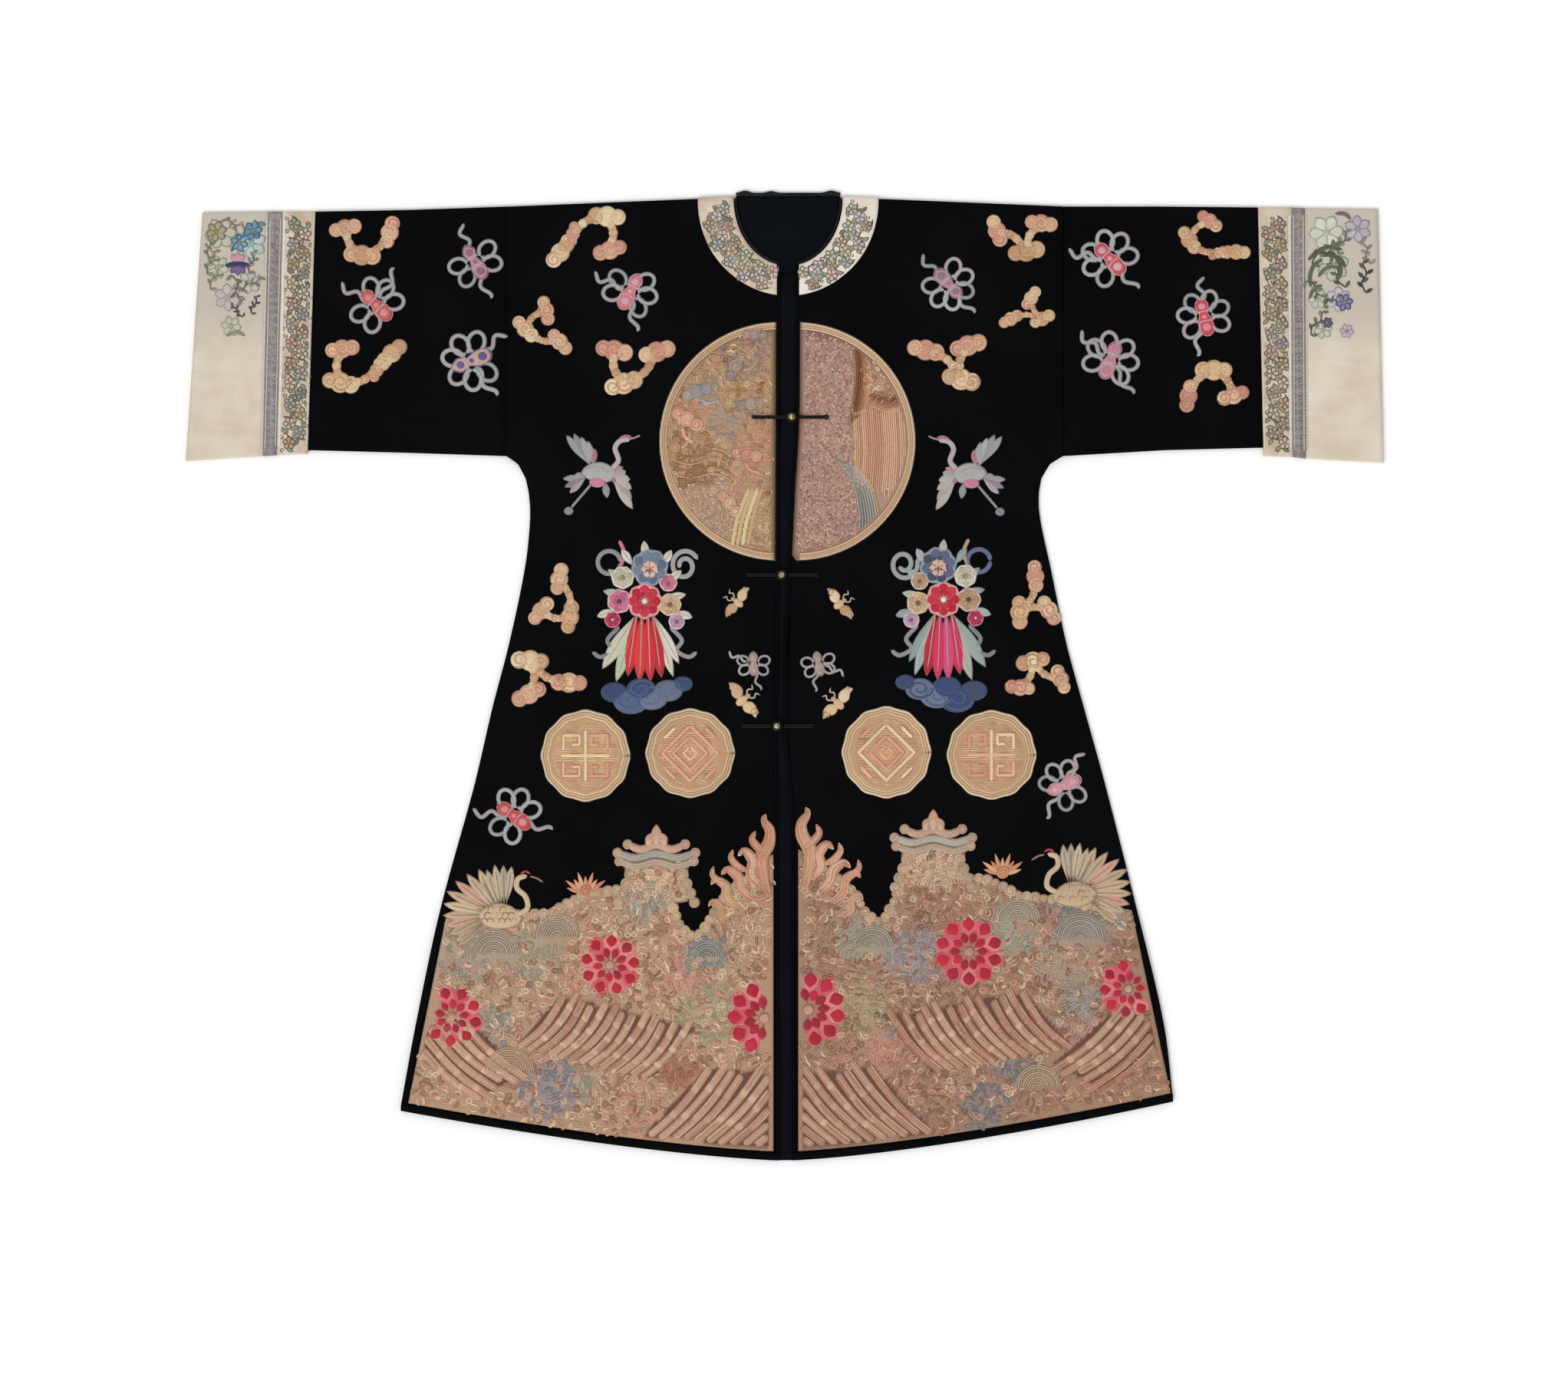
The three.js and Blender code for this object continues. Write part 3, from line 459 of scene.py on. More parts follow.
# The sleeves, their bands and the cuffs.
# Each sleeve is a wide straight tube of the same satin, pressed flat. A band of cream silk worked with
# sprays, a woven grey-lilac ribbon and a deep cuff of plain cream silk are sewn to its end in turn.
SLEEVE_LINES = {
    "left": [(SLEEVE_SEAM, 556, SLEEVE_SEAM, 260), (445, 552, 450, 264), (556, 550, 565, 267)],
    "right": [(SLEEVE_SEAM, 556, SLEEVE_SEAM, 260), (448, 556, 450, 267), (560.5, 555, 567, 270)],
}
CUFF_LINES = {
    "left": [(556, 550, 565, 263), (595, 550, 602, 261), (611.5, 550, 618, 260), (690, 549, CUFF, 254)],
    "right": [
        (560.5, 555, 567, 260), (600.5, 555, 602, 259), (616, 554, 617.5, 257), (703, 553, CUFF, 252),
    ],
}


def tube_rings(side, lines, steps, inset):
    """Rings of a pressed cloth tube, as a grid of stations by places round it, inset from its outside."""
    run, arc = 72, 9
    stations = [
        np.array(a) + (np.array(b) - np.array(a)) * k / steps
        for a, b in zip(lines, lines[1:])
        for k in range(0 if a is lines[0] else 1, steps + 1)
    ]
    rings = []
    for top_x, top_y, low_x, low_y in stations:

        def across(y):
            return SIGN[side] * (low_x + (top_x - low_x) * (y - low_y) / (top_y - low_y))

        half = {y: (float(under_z(across(y), y, False)) + CLOTH) / 2 for y in (low_y, top_y)}
        low_end, top_end = low_y + half[low_y], top_y - half[top_y]
        level = np.linspace(low_end, top_end, run)
        angle = np.linspace(0, math.pi, arc + 2)[1:-1]
        fade = smooth_step(level - low_end, 0, 12) * smooth_step(top_end - level, 0, 12)
        flat_z = under_z(across(level), level, False) + CLOTH
        top_z = flat_z + ridges(CREASES, across(level), level) * fade - inset
        top_radius, low_radius = half[top_y] - inset, half[low_y] - inset
        sin, cos = np.sin(angle), np.cos(angle)
        y = np.concatenate([level, top_end + top_radius * sin, level[::-1], low_end - low_radius * sin])
        top_fold, low_fold = half[top_y] - top_radius * cos, half[low_y] + low_radius * cos
        z = [np.full(run, inset), top_fold, top_z[::-1], low_fold]
        rings.append(np.stack([across(y), y, np.concatenate(z)], axis=-1))
    return np.array(rings)


def tube_object(name, side, lines, steps, material):
    """A closed cloth tube with its ends open. Its thread map is its own X and Y in millimetres."""
    lines = [np.array(lines[0]) + (GAP, 0, GAP, 0), *lines[1:]]
    rings = np.concatenate([tube_rings(side, lines, steps, 0), tube_rings(side, lines, steps, CLOTH)[::-1]])
    index = np.arange(rings.shape[0] * rings.shape[1]).reshape(rings.shape[:2])
    after = np.roll(index, -1, axis=0)
    faces = quads(index, after, np.roll(after, -1, axis=1), np.roll(index, -1, axis=1))
    faces = faces[:, ::-1] if side == "left" else faces
    points = rings.reshape(-1, 3)
    return make_object(name, points, faces.tolist(), material, uv=points[:, :2])


def silk_ground(name, pale, dark, spot_scale, weave_mm, upper=None):
    """Plain-woven cream silk: matt, warm and uneven with age, with a crosswise rib whose furrows carry a
    little painted shade. It may grey upwards.
    """
    look = {"Roughness": 0.62, "Specular_IOR_Level": 0.25, "Sheen_Weight": 0.12}
    material, tree, shader = start_material(name, **look)
    place = add_node(tree, "ShaderNodeTexCoord").outputs["Object"]
    age_inputs = {"Vector": place, "Scale": spot_scale, "Detail": 6.0, "Roughness": 0.62}
    age = add_node(tree, "ShaderNodeTexNoise", age_inputs)
    tone = add_node(tree, "ShaderNodeValToRGB", {"Fac": age.outputs["Fac"]})
    for element, position, colour in zip(tone.color_ramp.elements, (0.36, 0.66), (dark, pale)):
        element.position, element.color = position, linear(colour)
    rib_inputs = {"Vector": place, "Scale": wave_scale(weave_mm), "Distortion": 1.2, "Detail": 2.0}
    rib = add_node(tree, "ShaderNodeTexWave", rib_inputs, bands_direction="Y")
    # Painted shade: the colour is a little darker in the furrows of the rib.
    shade_inputs = {"Value": rib.outputs["Fac"], "To Min": 0.96, "To Max": 1.0}
    shade = add_node(tree, "ShaderNodeMapRange", shade_inputs)
    colour = multiply(tree, tone.outputs["Color"], shade.outputs["Result"])
    if upper:
        height = add_node(tree, "ShaderNodeSeparateXYZ", {"Vector": place}).outputs["Y"]
        low, high = GREYING["low"] * METRES, GREYING["high"] * METRES
        grey = add_node(tree, "ShaderNodeMapRange", {"Value": height, "From Min": low, "From Max": high})
        wash = {0: grey.outputs["Result"], 6: colour, 7: linear(upper)}
        colour = add_node(tree, "ShaderNodeMix", wash, data_type="RGBA").outputs[2]
    finish_material(tree, shader, colour, rib.outputs["Fac"], 0.3)
    return material


# The silks have yellowed a little, and the cuffs are greyer where the sprays are worked. The rib is drawn
# several times as coarse as the real one.
GREYING = {"low": 376, "high": 436}
cream_silk = silk_ground("cream_cuff_silk", "#ddd3c3", "#cfc0ab", 16.0, 1.6, upper="#bfb6a8")
pale_band_silk = silk_ground("pale_band_silk", "#e8dfd2", "#d8ccbc", 30.0, 1.5)
band_silk = silk_ground("cream_band_silk", "#dacdba", "#baa68e", 45.0, 1.5)

# Woven ribbon: grey-lilac silk with a small woven lozenge. The lozenge repeats at 7 mm.
RIBBON_REPEAT_MM = 7.0
ribbon_weave, tree, shader = start_material("woven_lilac_ribbon", Roughness=0.6, Specular_IOR_Level=0.25)
place = add_node(tree, "ShaderNodeTexCoord").outputs["Object"]
tilt = add_node(tree, "ShaderNodeMapping", {"Vector": place, "Rotation": (0, 0, math.pi / 4)})
lozenge_inputs = {
    "Vector": tilt.outputs["Vector"],
    "Scale": 1 / (RIBBON_REPEAT_MM * METRES),
    "Color1": linear("#827a7a"),
    "Color2": linear("#948c88"),
}
lozenge = add_node(tree, "ShaderNodeTexChecker", lozenge_inputs)
age = add_node(tree, "ShaderNodeTexNoise", {"Vector": place, "Scale": 60.0, "Detail": 5.0})
spots = add_node(tree, "ShaderNodeMapRange", {"Value": age.outputs["Fac"], "To Min": 0.72, "To Max": 1.22})
colour = multiply(tree, lozenge.outputs["Color"], spots.outputs["Result"])
finish_material(tree, shader, colour, lozenge.outputs["Fac"], 0.3)

SLEEVE_PIECES = rows(
    "name cuff steps silk slot flat",
    ("sleeve", None, 14, satin, "satin", (0.24, 0.60)),
    ("sleeve_band", 0, 6, band_silk, "band_silk", (0.042, 0.60)),
    ("sleeve_ribbon", 1, 3, ribbon_weave, "ribbon", (0.017, 0.60)),
    ("cuff", 2, 14, cream_silk, "cream_silk", (0.09, 0.61)),
)
for side in SIGN:
    for row in SLEEVE_PIECES:
        start = row["cuff"]
        lines = SLEEVE_LINES[side] if start is None else CUFF_LINES[side][start : start + 2]
        piece = tube_object(f"{row['name']}_cloth_{side}", side, lines, row["steps"], row["silk"])
        finish_piece(piece, row["slot"], f"{row['name']}_{side}")

# The couched badges, the border and every motif.
# Gold-wrapped thread is laid on the cloth in pairs and tied down with fine silk. Floss silk is worked flat
# in satin stitch. Both stand a little above the cloth, so each line and petal is a low raised form.
RANDOM = np.random.default_rng(7)


def distance_along(path):
    """How far each point of a path lies from its start."""
    return np.concatenate([[0], np.cumsum(np.linalg.norm(np.diff(path, axis=0), axis=1))])


class Stitching:
    """Collects raised stitching over the upper cloth: lines of thread and filled shapes."""

    ACROSS = np.array([-1.0, -0.68, 0.0, 0.68, 1.0])
    ARCH = np.array([0.0, 0.74, 1.0, 0.74, 0.0])

    def __init__(self, base=0.0):
        self.base = base
        self.count = 0
        self.points, self.colours, self.uvs, self.faces = [], [], [], []

    def _keep(self, points, colour, uv, faces, jitter=0.07):
        shade = 1 + jitter * RANDOM.uniform(-1, 1)
        tint = np.append(np.clip(np.array(linear(colour)[:3]) * shade, 0, 1), 1.0)
        self.points.append(points)
        self.colours.append(np.tile(tint, (len(points), 1)))
        self.uvs.append(uv)
        self.faces.extend((np.asarray(face) + self.count).tolist() for face in faces)
        self.count += len(points)

    def line(self, path, width, colour, height=0.8, rise=0.0, ends=0.5, fine=False):
        """A laid thread or row of stitches along a path. Its ends narrow over a share of its width."""
        path = np.asarray(path, dtype=float)
        step = np.gradient(path, axis=0)
        step /= np.maximum(np.linalg.norm(step, axis=1, keepdims=True), 1e-9)
        side = np.stack([-step[:, 1], step[:, 0]], axis=1)
        along = distance_along(path)
        reach = max(ends * float(np.max(width)), 1e-6)
        near = np.minimum(np.minimum(along, along[-1] - along) / reach, 1)
        widths = np.asarray(width) * (0.16 + 0.84 * np.sqrt(1 - (1 - near) ** 2)) / 2
        across, arch = (self.ACROSS[::2], self.ARCH[::2]) if fine else (self.ACROSS, self.ARCH)
        count = len(across)
        xy = path[:, None, :] + side[:, None, :] * (widths[:, None] * across)[:, :, None]
        rises = rise + height * arch[None, :] * (0.35 + 0.65 * near[:, None])
        points = np.concatenate([xy, rises[:, :, None]], axis=2).reshape(-1, 3)
        uv = np.stack([np.repeat(along, count), (widths[:, None] * across).ravel()], axis=1)
        index = np.arange(len(path) * count).reshape(-1, count)
        top = quads(index[:-1, :-1], index[1:, :-1], index[1:, 1:], index[:-1, 1:])
        under = quads(index[:-1, -1], index[1:, -1], index[1:, 0], index[:-1, 0])
        self._keep(points, colour, uv, [*top, *under, index[0], index[-1][::-1]])

    def shape(self, outline, colour, height=0.8, rise=0.0, turn=0.0, centre=None):
        """A filled shape with a soft edge. Its outline runs anticlockwise and its centre sees all of it."""
        outline = np.asarray(outline, dtype=float)
        centre = outline.mean(axis=0) if centre is None else np.asarray(centre, dtype=float)
        count = len(outline)
        small = np.ptp(outline, axis=0).max() < 11
        shares, heights = ((0.75, 1.0), (0.75, 0.0)) if small else ((0.45, 0.82, 1.0), (0.95, 0.7, 0.0))
        xy = np.concatenate([centre[None], *(centre + (outline - centre) * share for share in shares)])
        lifts = np.concatenate([[1.0], np.repeat(heights, count)])
        points = np.concatenate([xy, (rise + height * lifts)[:, None]], axis=1)
        cos, sin = math.cos(turn), math.sin(turn)
        uv = np.stack([xy[:, 0] * cos + xy[:, 1] * sin, xy[:, 1] * cos - xy[:, 0] * sin], axis=1)
        faces = [(0, 1 + k, 1 + (k + 1) % count) for k in range(count)]
        for ring in range(len(shares) - 1):
            a, b = 1 + ring * count, 1 + (ring + 1) * count
            faces += [(a + k, b + k, b + (k + 1) % count, a + (k + 1) % count) for k in range(count)]
        faces.append(tuple(1 + (len(shares) - 1) * count + k for k in reversed(range(count))))
        self._keep(points, colour, uv, faces)

    def make(self, name, material):
        """The stitching as one object, laid over the cloth."""
        points = np.concatenate(self.points)
        placed = on_cloth(points[:, 0], points[:, 1], CLOTH + self.base + points[:, 2])
        maps = {"uv": np.concatenate(self.uvs), "colour": np.concatenate(self.colours)}
        return make_object(name, placed, self.faces, material, **maps)


def thread_material(name, thread_mm, metallic, roughness, sheen, along_only):
    """Laid thread that takes its dye from the piece, with painted shade in the grooves between its threads.
    It runs along a line, or across it in satin stitch.
    """
    look = {"Roughness": roughness, "Metallic": metallic, "Specular_IOR_Level": 0.3, "Sheen_Weight": sheen}
    material, tree, shader = start_material(name, **look)
    dye = add_node(tree, "ShaderNodeAttribute", attribute_name="dye")
    threads = add_node(tree, "ShaderNodeUVMap", uv_map="threads")
    parts = add_node(tree, "ShaderNodeSeparateXYZ", {"Vector": threads.outputs["UV"]})
    read = parts.outputs["Y" if along_only else "X"]
    turned = add_node(tree, "ShaderNodeMath", {0: read, 1: 2 * math.pi / thread_mm}, operation="MULTIPLY")
    ridge = add_node(tree, "ShaderNodeMath", {0: turned.outputs[0]}, operation="COSINE")
    place = add_node(tree, "ShaderNodeTexCoord").outputs["Object"]
    fleck = add_node(tree, "ShaderNodeTexNoise", {"Vector": place, "Scale": 520.0, "Detail": 2.0})
    sum_inputs = {0: ridge.outputs[0], 1: 0.35, 2: fleck.outputs["Fac"]}
    height = add_node(tree, "ShaderNodeMath", sum_inputs, operation="MULTIPLY_ADD").outputs[0]
    # Painted shade: the dye is darkened in the grooves between threads and lightened on their crowns, and
    # varied at random by the fleck.
    shade_inputs = {"Value": height, "From Min": 0.1, "From Max": 0.9, "To Min": 0.7, "To Max": 1.12}
    shade = add_node(tree, "ShaderNodeMapRange", shade_inputs)
    colour = multiply(tree, dye.outputs["Color"], shade.outputs["Result"])
    finish_material(tree, shader, colour, height, 0.5, 0.0004)
    return material


# Gold-wrapped thread: gilt paper strip on a silk core, dulled with age, so half metal and half fibre.
gold_thread = thread_material("couched_gold_thread", 1.3, 0.25, 0.5, 0.0, True)
# Floss silk: untwisted and glossy, with the stitches lying across each line.
floss_silk = thread_material("floss_silk", 1.2, 0.0, 0.5, 0.2, False)

GOLD = ("#c9a57e", "#d8bd93", "#b8916b", "#c79f86", "#dcc5a4")
GREY = ("#8f8f91", "#a3a3a2", "#7d8384", "#9a8f97")


def curve_through(*knots, step=2.0, closed=False):
    """Points along a smooth curve through a few knots."""
    knots = np.asarray(knots, dtype=float)
    before = np.roll(knots, 1, axis=0) if closed else np.vstack([2 * knots[0] - knots[1], knots[:-1]])
    after = np.roll(knots, -1, axis=0) if closed else np.vstack([knots[1:], 2 * knots[-1] - knots[-2]])
    slopes = (after - before) / 2
    spans = range(len(knots) if closed else len(knots) - 1)
    path = []
    for k in spans:
        a, b = knots[k], knots[(k + 1) % len(knots)]
        count = max(2, int(np.linalg.norm(b - a) / step))
        t = (np.arange(count) / count)[:, None]
        ease = t * t * (3 - 2 * t)
        bend = slopes[k] * t * (1 - t) ** 2 - slopes[(k + 1) % len(knots)] * t * t * (1 - t)
        path.append(a + (b - a) * ease + bend)
    if not closed:
        path.append(knots[-1:])
    return np.concatenate(path)


def arc(x, y, angle, across, up):
    """Points of an arc round a place, by their angles and by its reach across and up."""
    return np.stack([x + across * np.cos(angle), y + up * np.sin(angle)], axis=1)


def turned(points, x, y, turn=0.0, scale=1.0, mirror=1):
    """Points of a motif's own drawing, mirrored, scaled, turned and moved to their place."""
    points = np.asarray(points, dtype=float) * scale * (mirror, 1)
    cos, sin = math.cos(turn), math.sin(turn)
    return points @ np.array([[cos, sin], [-sin, cos]]) + (x, y)


def spoke(x, y, reach, turn):
    """The place that lies this far from another in a direction."""
    return x + reach * math.cos(turn), y + reach * math.sin(turn)


def coil(x, y, radius, turns=2.0, start=0.0, hand=1, inner=0.14, stretch=1.0, step=2.2):
    """A spiral path from the outside in."""
    count = max(8, int(turns * math.pi * radius * (1 + inner) / step))
    t = np.linspace(0, 1, count)
    angle = start + hand * 2 * math.pi * turns * t
    reach = radius * (1 - (1 - inner) * t)
    return arc(x, y, angle, stretch * reach, reach)


def ring_path(x, y, radius, stretch=1.0, count=28, start=0.0, turn=0.0):
    """A circle or oval path that meets its own start."""
    angle = start + np.linspace(0, 2 * math.pi, count)
    return turned(arc(0, 0, angle, stretch * radius, radius), x, y, turn)


def leaf_outline(x, y, length, width, turn, count=14, belly=0.5):
    """A pointed leaf or petal that starts at a place and grows in a direction."""
    t = np.linspace(0, 1, count)
    half = width / 2 * np.sin(math.pi * t ** (math.log(0.5) / math.log(belly))) ** 0.8
    lower = np.stack([t * length, -half], axis=1)
    upper = np.stack([t[::-1][1:-1] * length, half[::-1][1:-1]], axis=1)
    return turned(np.concatenate([lower, upper]), x, y, turn)


def pick(colours):
    return colours[RANDOM.integers(len(colours))]


# The gold clouds.
# Scroll clouds of couched gold: plump lobes with a coil at each end, joined in a chain by thick short
# necks. Some lobes are worked in a pinker or a paler gold.
# Each lobe is X, Y, half its thickness and its turn in degrees. A neck joins each lobe to the next.
CLOUD_KINDS = {
    "bridge": [(-27, 20, 11, 8), (-29, -18, 12, -12), (12, -4, 8, 70), (29, 15, 11, 40)],
    "branch": [(-22, 18, 12, -16), (-14, -20, 12.5, 14), (26, 13, 12, 12)],
    "zigzag": [(-28, 17, 11, 12), (-8, -15, 12.5, -6), (25, 12, 11, 74)],
}
CLOUDS = rows(
    "x y kind turn mirror size",
    (-493, 513, "zigzag", 0, 1, 1.0), (-496, 366, "bridge", 0, 1, 1.05),
    (-238, 521, "bridge", 188, 1, 1.05), (-287, 409, "branch", -60, 1, 0.84),
    (-178, 368, "branch", 4, 1, 1.05), (194, 372, "branch", 0, -1, 1.05),
    (277, 517, "zigzag", 4, -1, 1.0), (288, 427, "branch", 40, -1, 0.72),
    (508, 510, "bridge", -44, 1, 0.86), (502, 346, "zigzag", 186, 1, 1.0),
    (-266, 88, "branch", 66, 1, 0.9), (-284, 0, "branch", 190, -1, 1.02),
    (292, 92, "branch", -74, -1, 0.9), (303, 4, "zigzag", 186, -1, 0.92),
)
PALE_GOLD = ("#e3c8a0", "#d9b48a", "#c99f78", "#e8d2b0", "#dcab8c")


def disc(work, x, y, radius, tones, rise=0.0, turn=0.0, hand=1, stretch=1.0, thread=2.6):
    """A padded disc of laid thread with a coil worked on it."""
    work.shape(ring_path(x, y, radius, stretch, 20, turn=turn)[:-1], pick(tones), 0.8, rise, turn)
    path = coil(x, y, radius * 0.9, 1.6, turn, hand, 0.16, stretch)
    work.line(path, thread, pick(tones), 0.55, rise + 0.65, fine=True)


def cloud(gold, x, y, kind, turn=0, mirror=1, size=1.0):
    """One scroll cloud: first the necks with their beads, then a lobe of three discs at each end."""
    lobes, turn = CLOUD_KINDS[kind], math.radians(turn)
    places = turned([row[:2] for row in lobes], x, y, turn, size, mirror)
    for a, b in zip(places, places[1:]):
        bow = (a + b) / 2 + 0.14 * (b - a)[::-1] * (1, -1)
        path = curve_through(a, bow, b, step=3.0)
        gold.line(path, 9.4 * size, pick(PALE_GOLD), 0.7, ends=0.3)
        for at in path[3:-2:3]:
            disc(gold, *at, 5.4 * size, PALE_GOLD, 0.35, turn, mirror, thread=1.9)
    for k, ((px, py), (_, _, half, lean)) in enumerate(zip(places, lobes)):
        lean = turn + mirror * math.radians(lean)
        tones = PALE_GOLD if k % 2 else ("#cf9480", "#d8a88c", "#e0c09a")
        for place, share in ((-1.0, 0.78), (1.0, 0.84), (0.0, 1.0)):
            at = spoke(px, py, place * half * size, lean)
            disc(gold, *at, half * share * size, tones, 0.25 * share, lean + k, 1 if place > 0 else -1)


# The knotted ribbons.
# Each is a small emblem in pink or red floss silk, tied with a grey ribbon whose loops stand out on both
# sides of it and whose two tails run off in waves.
RIBBON_TIES = rows(
    "x y turn rosy rosy_2 loops size tails",
    (-484, 439, -44, "#c85a58", "#d08a8a", 5, 1.0, (152, 60)),
    (-367, 490, -58, "#b98a9b", "#96607a", 4, 0.96, (112, -70)),
    (-371, 373, 22, "#c7a08c", "#5f5590", 6, 1.06, (40, -58)),
    (-183, 455, -118, "#d0707c", "#c9a3ae", 5, 0.98, (156, -84)),
    (194, 464, 132, "#b78396", "#8d7480", 6, 0.94, (136, -52)),
    (385, 494, -46, "#cf4a52", "#c9a3ae", 6, 1.02, (172, -50)),
    (386, 374, -112, "#bd8c9d", "#c27a80", 6, 1.0, (140, -60)),
    (497, 425, -76, "#cf4450", "#d98f95", 6, 0.96, (96, -104)),
    (-321, -166, -36, "#cc3f46", "#c98a8a", 5, 1.0, (176, -24)),
    (331, -130, 24, "#c98a98", "#d6a1a8", 5, 0.9, (62, -122)),
    (-37, 14, -88, "#b98a90", "#a9a78a", 4, 0.6, (158, -78)),
    (40, 14, -78, "#b39a88", "#9d9090", 4, 0.62, (-22, -100)),
)
LOOP_TURNS = (54, -58, 104, -108, 150, -154)


def wavy_tail(x, y, direction, length, waves, sway):
    """A ribbon's tail that waves as it runs away from a place."""
    t = np.linspace(0, 1, 22)
    swing = sway * np.sin(t * waves * 2 * math.pi) * (0.4 + 0.6 * t)
    return turned(np.stack([8 + t * length, swing], axis=1), x, y, direction)


def ribbon_tie(floss, x, y, turn, rosy, rosy_2, loops, size, tails):
    """A small emblem with ribbon loops on both sides and two waving tails."""
    turn = math.radians(turn)
    for k, tail in enumerate(tails):
        path = wavy_tail(x, y, math.radians(tail), 41 * size, 1.7 - 0.3 * k, 5.4 * size)
        floss.line(path, 5.2 * size, pick(GREY), 0.7, ends=1.0)
        floss.line(path, 1.3 * size, "#bcbab8", 0.3, 0.6, fine=True)
    for angle in np.radians(LOOP_TURNS[:loops]) + turn:
        path = ring_path(*spoke(x, y, 21.5 * size, angle), 9.2 * size, 1.24, 28, math.pi, angle)
        floss.line(path, 5.0 * size, pick(GREY), 0.7, 0.15, ends=0.2)
        floss.line(path, 1.2 * size, "#c4c2be", 0.3, 0.75, fine=True)
    knots = [(-24, 0), (-15, 8), (-4, 5), (6, 8.5), (19, 7.5), (24, 0)]
    knots += [(19, -7.5), (6, -8.5), (-4, -5), (-15, -8)]
    outline = turned(curve_through(*knots, closed=True)[::-1], x, y, turn, size)
    floss.shape(outline, rosy, 1.1, 0.4, turn=turn)
    floss.line(np.vstack([outline, outline[:1]]), 1.5 * size, rosy_2, 0.7, 0.5, ends=0.1, fine=True)
    for place, radius in ((-13, 4.4), (0, 3), (13, 5)):
        cx, cy = turned([(place, 0)], x, y, turn, size)[0]
        floss.shape(ring_path(cx, cy, radius * size, 1.1, 14)[:-1], rosy_2, 0.7, 1.2)
    for place in (-6, 6):
        cross = turned([(place, -8.5), (place - 1, 0), (place, 8.5)], x, y, turn, size)
        floss.line(curve_through(*cross), 2.2 * size, "#b9b4ae", 0.6, 1.2, fine=True)


# The cranes and the bats.
# White and grey floss silk, with pink shading on the cranes, and couched gold for the bats.
CRANES = rows(
    "x y mirror",
    (-219, 241, 1), (218, 240, -1),
)
BATS = rows(
    "x y turn size",
    (-55, 86, 52, 0.86), (-51, -30, -52, 1.02), (64, 84, -52, 0.9), (64, -34, 46, 0.98),
)


def crane(floss, x, y, mirror, size=1.0):
    """A crane in flight with both wings spread, its neck bent back and its legs trailing."""

    def at(*places):
        return turned(places, x, y, 0, size, mirror)

    def feathers(root, tips, tones, width):
        for k, tip in enumerate(tips):
            base, end = at(root, tip)
            turn = math.atan2(end[1] - base[1], end[0] - base[0])
            leaf = leaf_outline(*base, float(np.linalg.norm(end - base)), width * size, turn, belly=0.62)
            floss.shape(leaf, tones[k % len(tones)], 0.8, 0.1 * k, turn)

    pale, rosy = ("#9c9d9c", "#8a9090", "#a9a6a4"), ("#b58a96", "#a8757f", "#c0a4a8")
    grey, dusky = ("#b3ada6", "#a59f98", "#b9a9a8"), ("#9a9497", "#8d7f88", "#a49da0")
    feathers((-12, 8), [(-40, 44), (-31, 46), (-22, 42), (-14, 37)], pale, 10)
    feathers((-8, 6), [(-12, 34), (-6, 28)], rosy, 8)
    feathers((14, -6), [(39, -44), (38, -32), (38, -20), (36, -9), (31, 1)], grey, 11)
    feathers((10, 0), [(28, 6), (22, -14)], rosy, 8)
    feathers((-16, -6), [(-44, -8), (-42, -18), (-36, -25), (-30, -3)], dusky, 8)
    floss.line(at(*curve_through((-10, -14), (-22, -28), (-34, -42))), 3.2 * size, "#8f8c8a", 0.6)
    floss.shape(ring_path(*at((-37, -46))[0], 5 * size, 1.15, 14)[:-1], "#85858a", 0.7)
    tail = leaf_outline(*at((6, -12))[0], 19 * size, 9 * size, math.radians(-90 + 8 * mirror))
    floss.shape(tail, "#8f8f90", 0.7, 0.1)
    knots = [(-22, -2), (-14, 9), (2, 12), (16, 5), (20, -4), (10, -12), (-6, -12)]
    body = at(*curve_through(*knots, closed=True))[::mirror]
    floss.shape(body, "#a9a9a5", 1.2, 0.2, turn=0.3 * mirror)
    floss.shape(ring_path(*at((-3, -12))[0], 6.5 * size, 1.5, 16)[:-1], "#c47c90", 0.7, 0.8)
    neck = at(*curve_through((14, 4), (22, 14), (18, 28), (24, 37), (36, 39)))
    floss.line(neck, 6.4 * size, "#b4a9aa", 1.0, 0.4, ends=0.8)
    floss.line(at(*curve_through((23, 40), (31, 43), (38, 41))), 3 * size, "#b06a80", 0.6, 1.0)
    floss.line(at(*curve_through((34, 39), (42, 41), (48, 44))), 2.2 * size, "#9f8f8c", 0.6, 0.5)
    floss.line(at(*curve_through((-16, 4), (-2, 6), (12, 0))), 1.2 * size, "#c69aa4", 0.4, 1.3, fine=True)


def bat(gold, x, y, turn, size):
    """A small bat: a round body, two scalloped wings and curled feelers."""
    turn = math.radians(turn)

    def at(*places):
        return turned(places, x, y, turn, size)

    for hand in (-1, 1):
        knots = [(2, 1), (9, 9), (19, 8), (26, 1), (19, -1), (13, -5), (6, -4)]
        outline = at(*curve_through(*((px * hand, py) for px, py in knots), closed=True))[::-hand]
        gold.shape(outline, pick(GOLD), 0.85, 0.0, turn)
        curl = coil(*at((19 * hand, 3))[0], 5.4 * size, 1.3, turn, hand)
        gold.line(curl, 2.1 * size, pick(GOLD), 0.6, 0.6, fine=True)
        feeler = curve_through((2 * hand, 8), (6 * hand, 14), (3 * hand, 18), (8 * hand, 21))
        gold.line(at(*feeler), 2.2 * size, "#b9b0a2", 0.6)
    gold.shape(ring_path(*at((0, 0))[0], 8 * size, 0.66, 16, turn=turn)[:-1], "#d3b48c", 1.1, 0.2)
    gold.shape(ring_path(*at((0, 9))[0], 3.4 * size, 1.0, 12)[:-1], "#c99a8c", 1.0, 0.2)


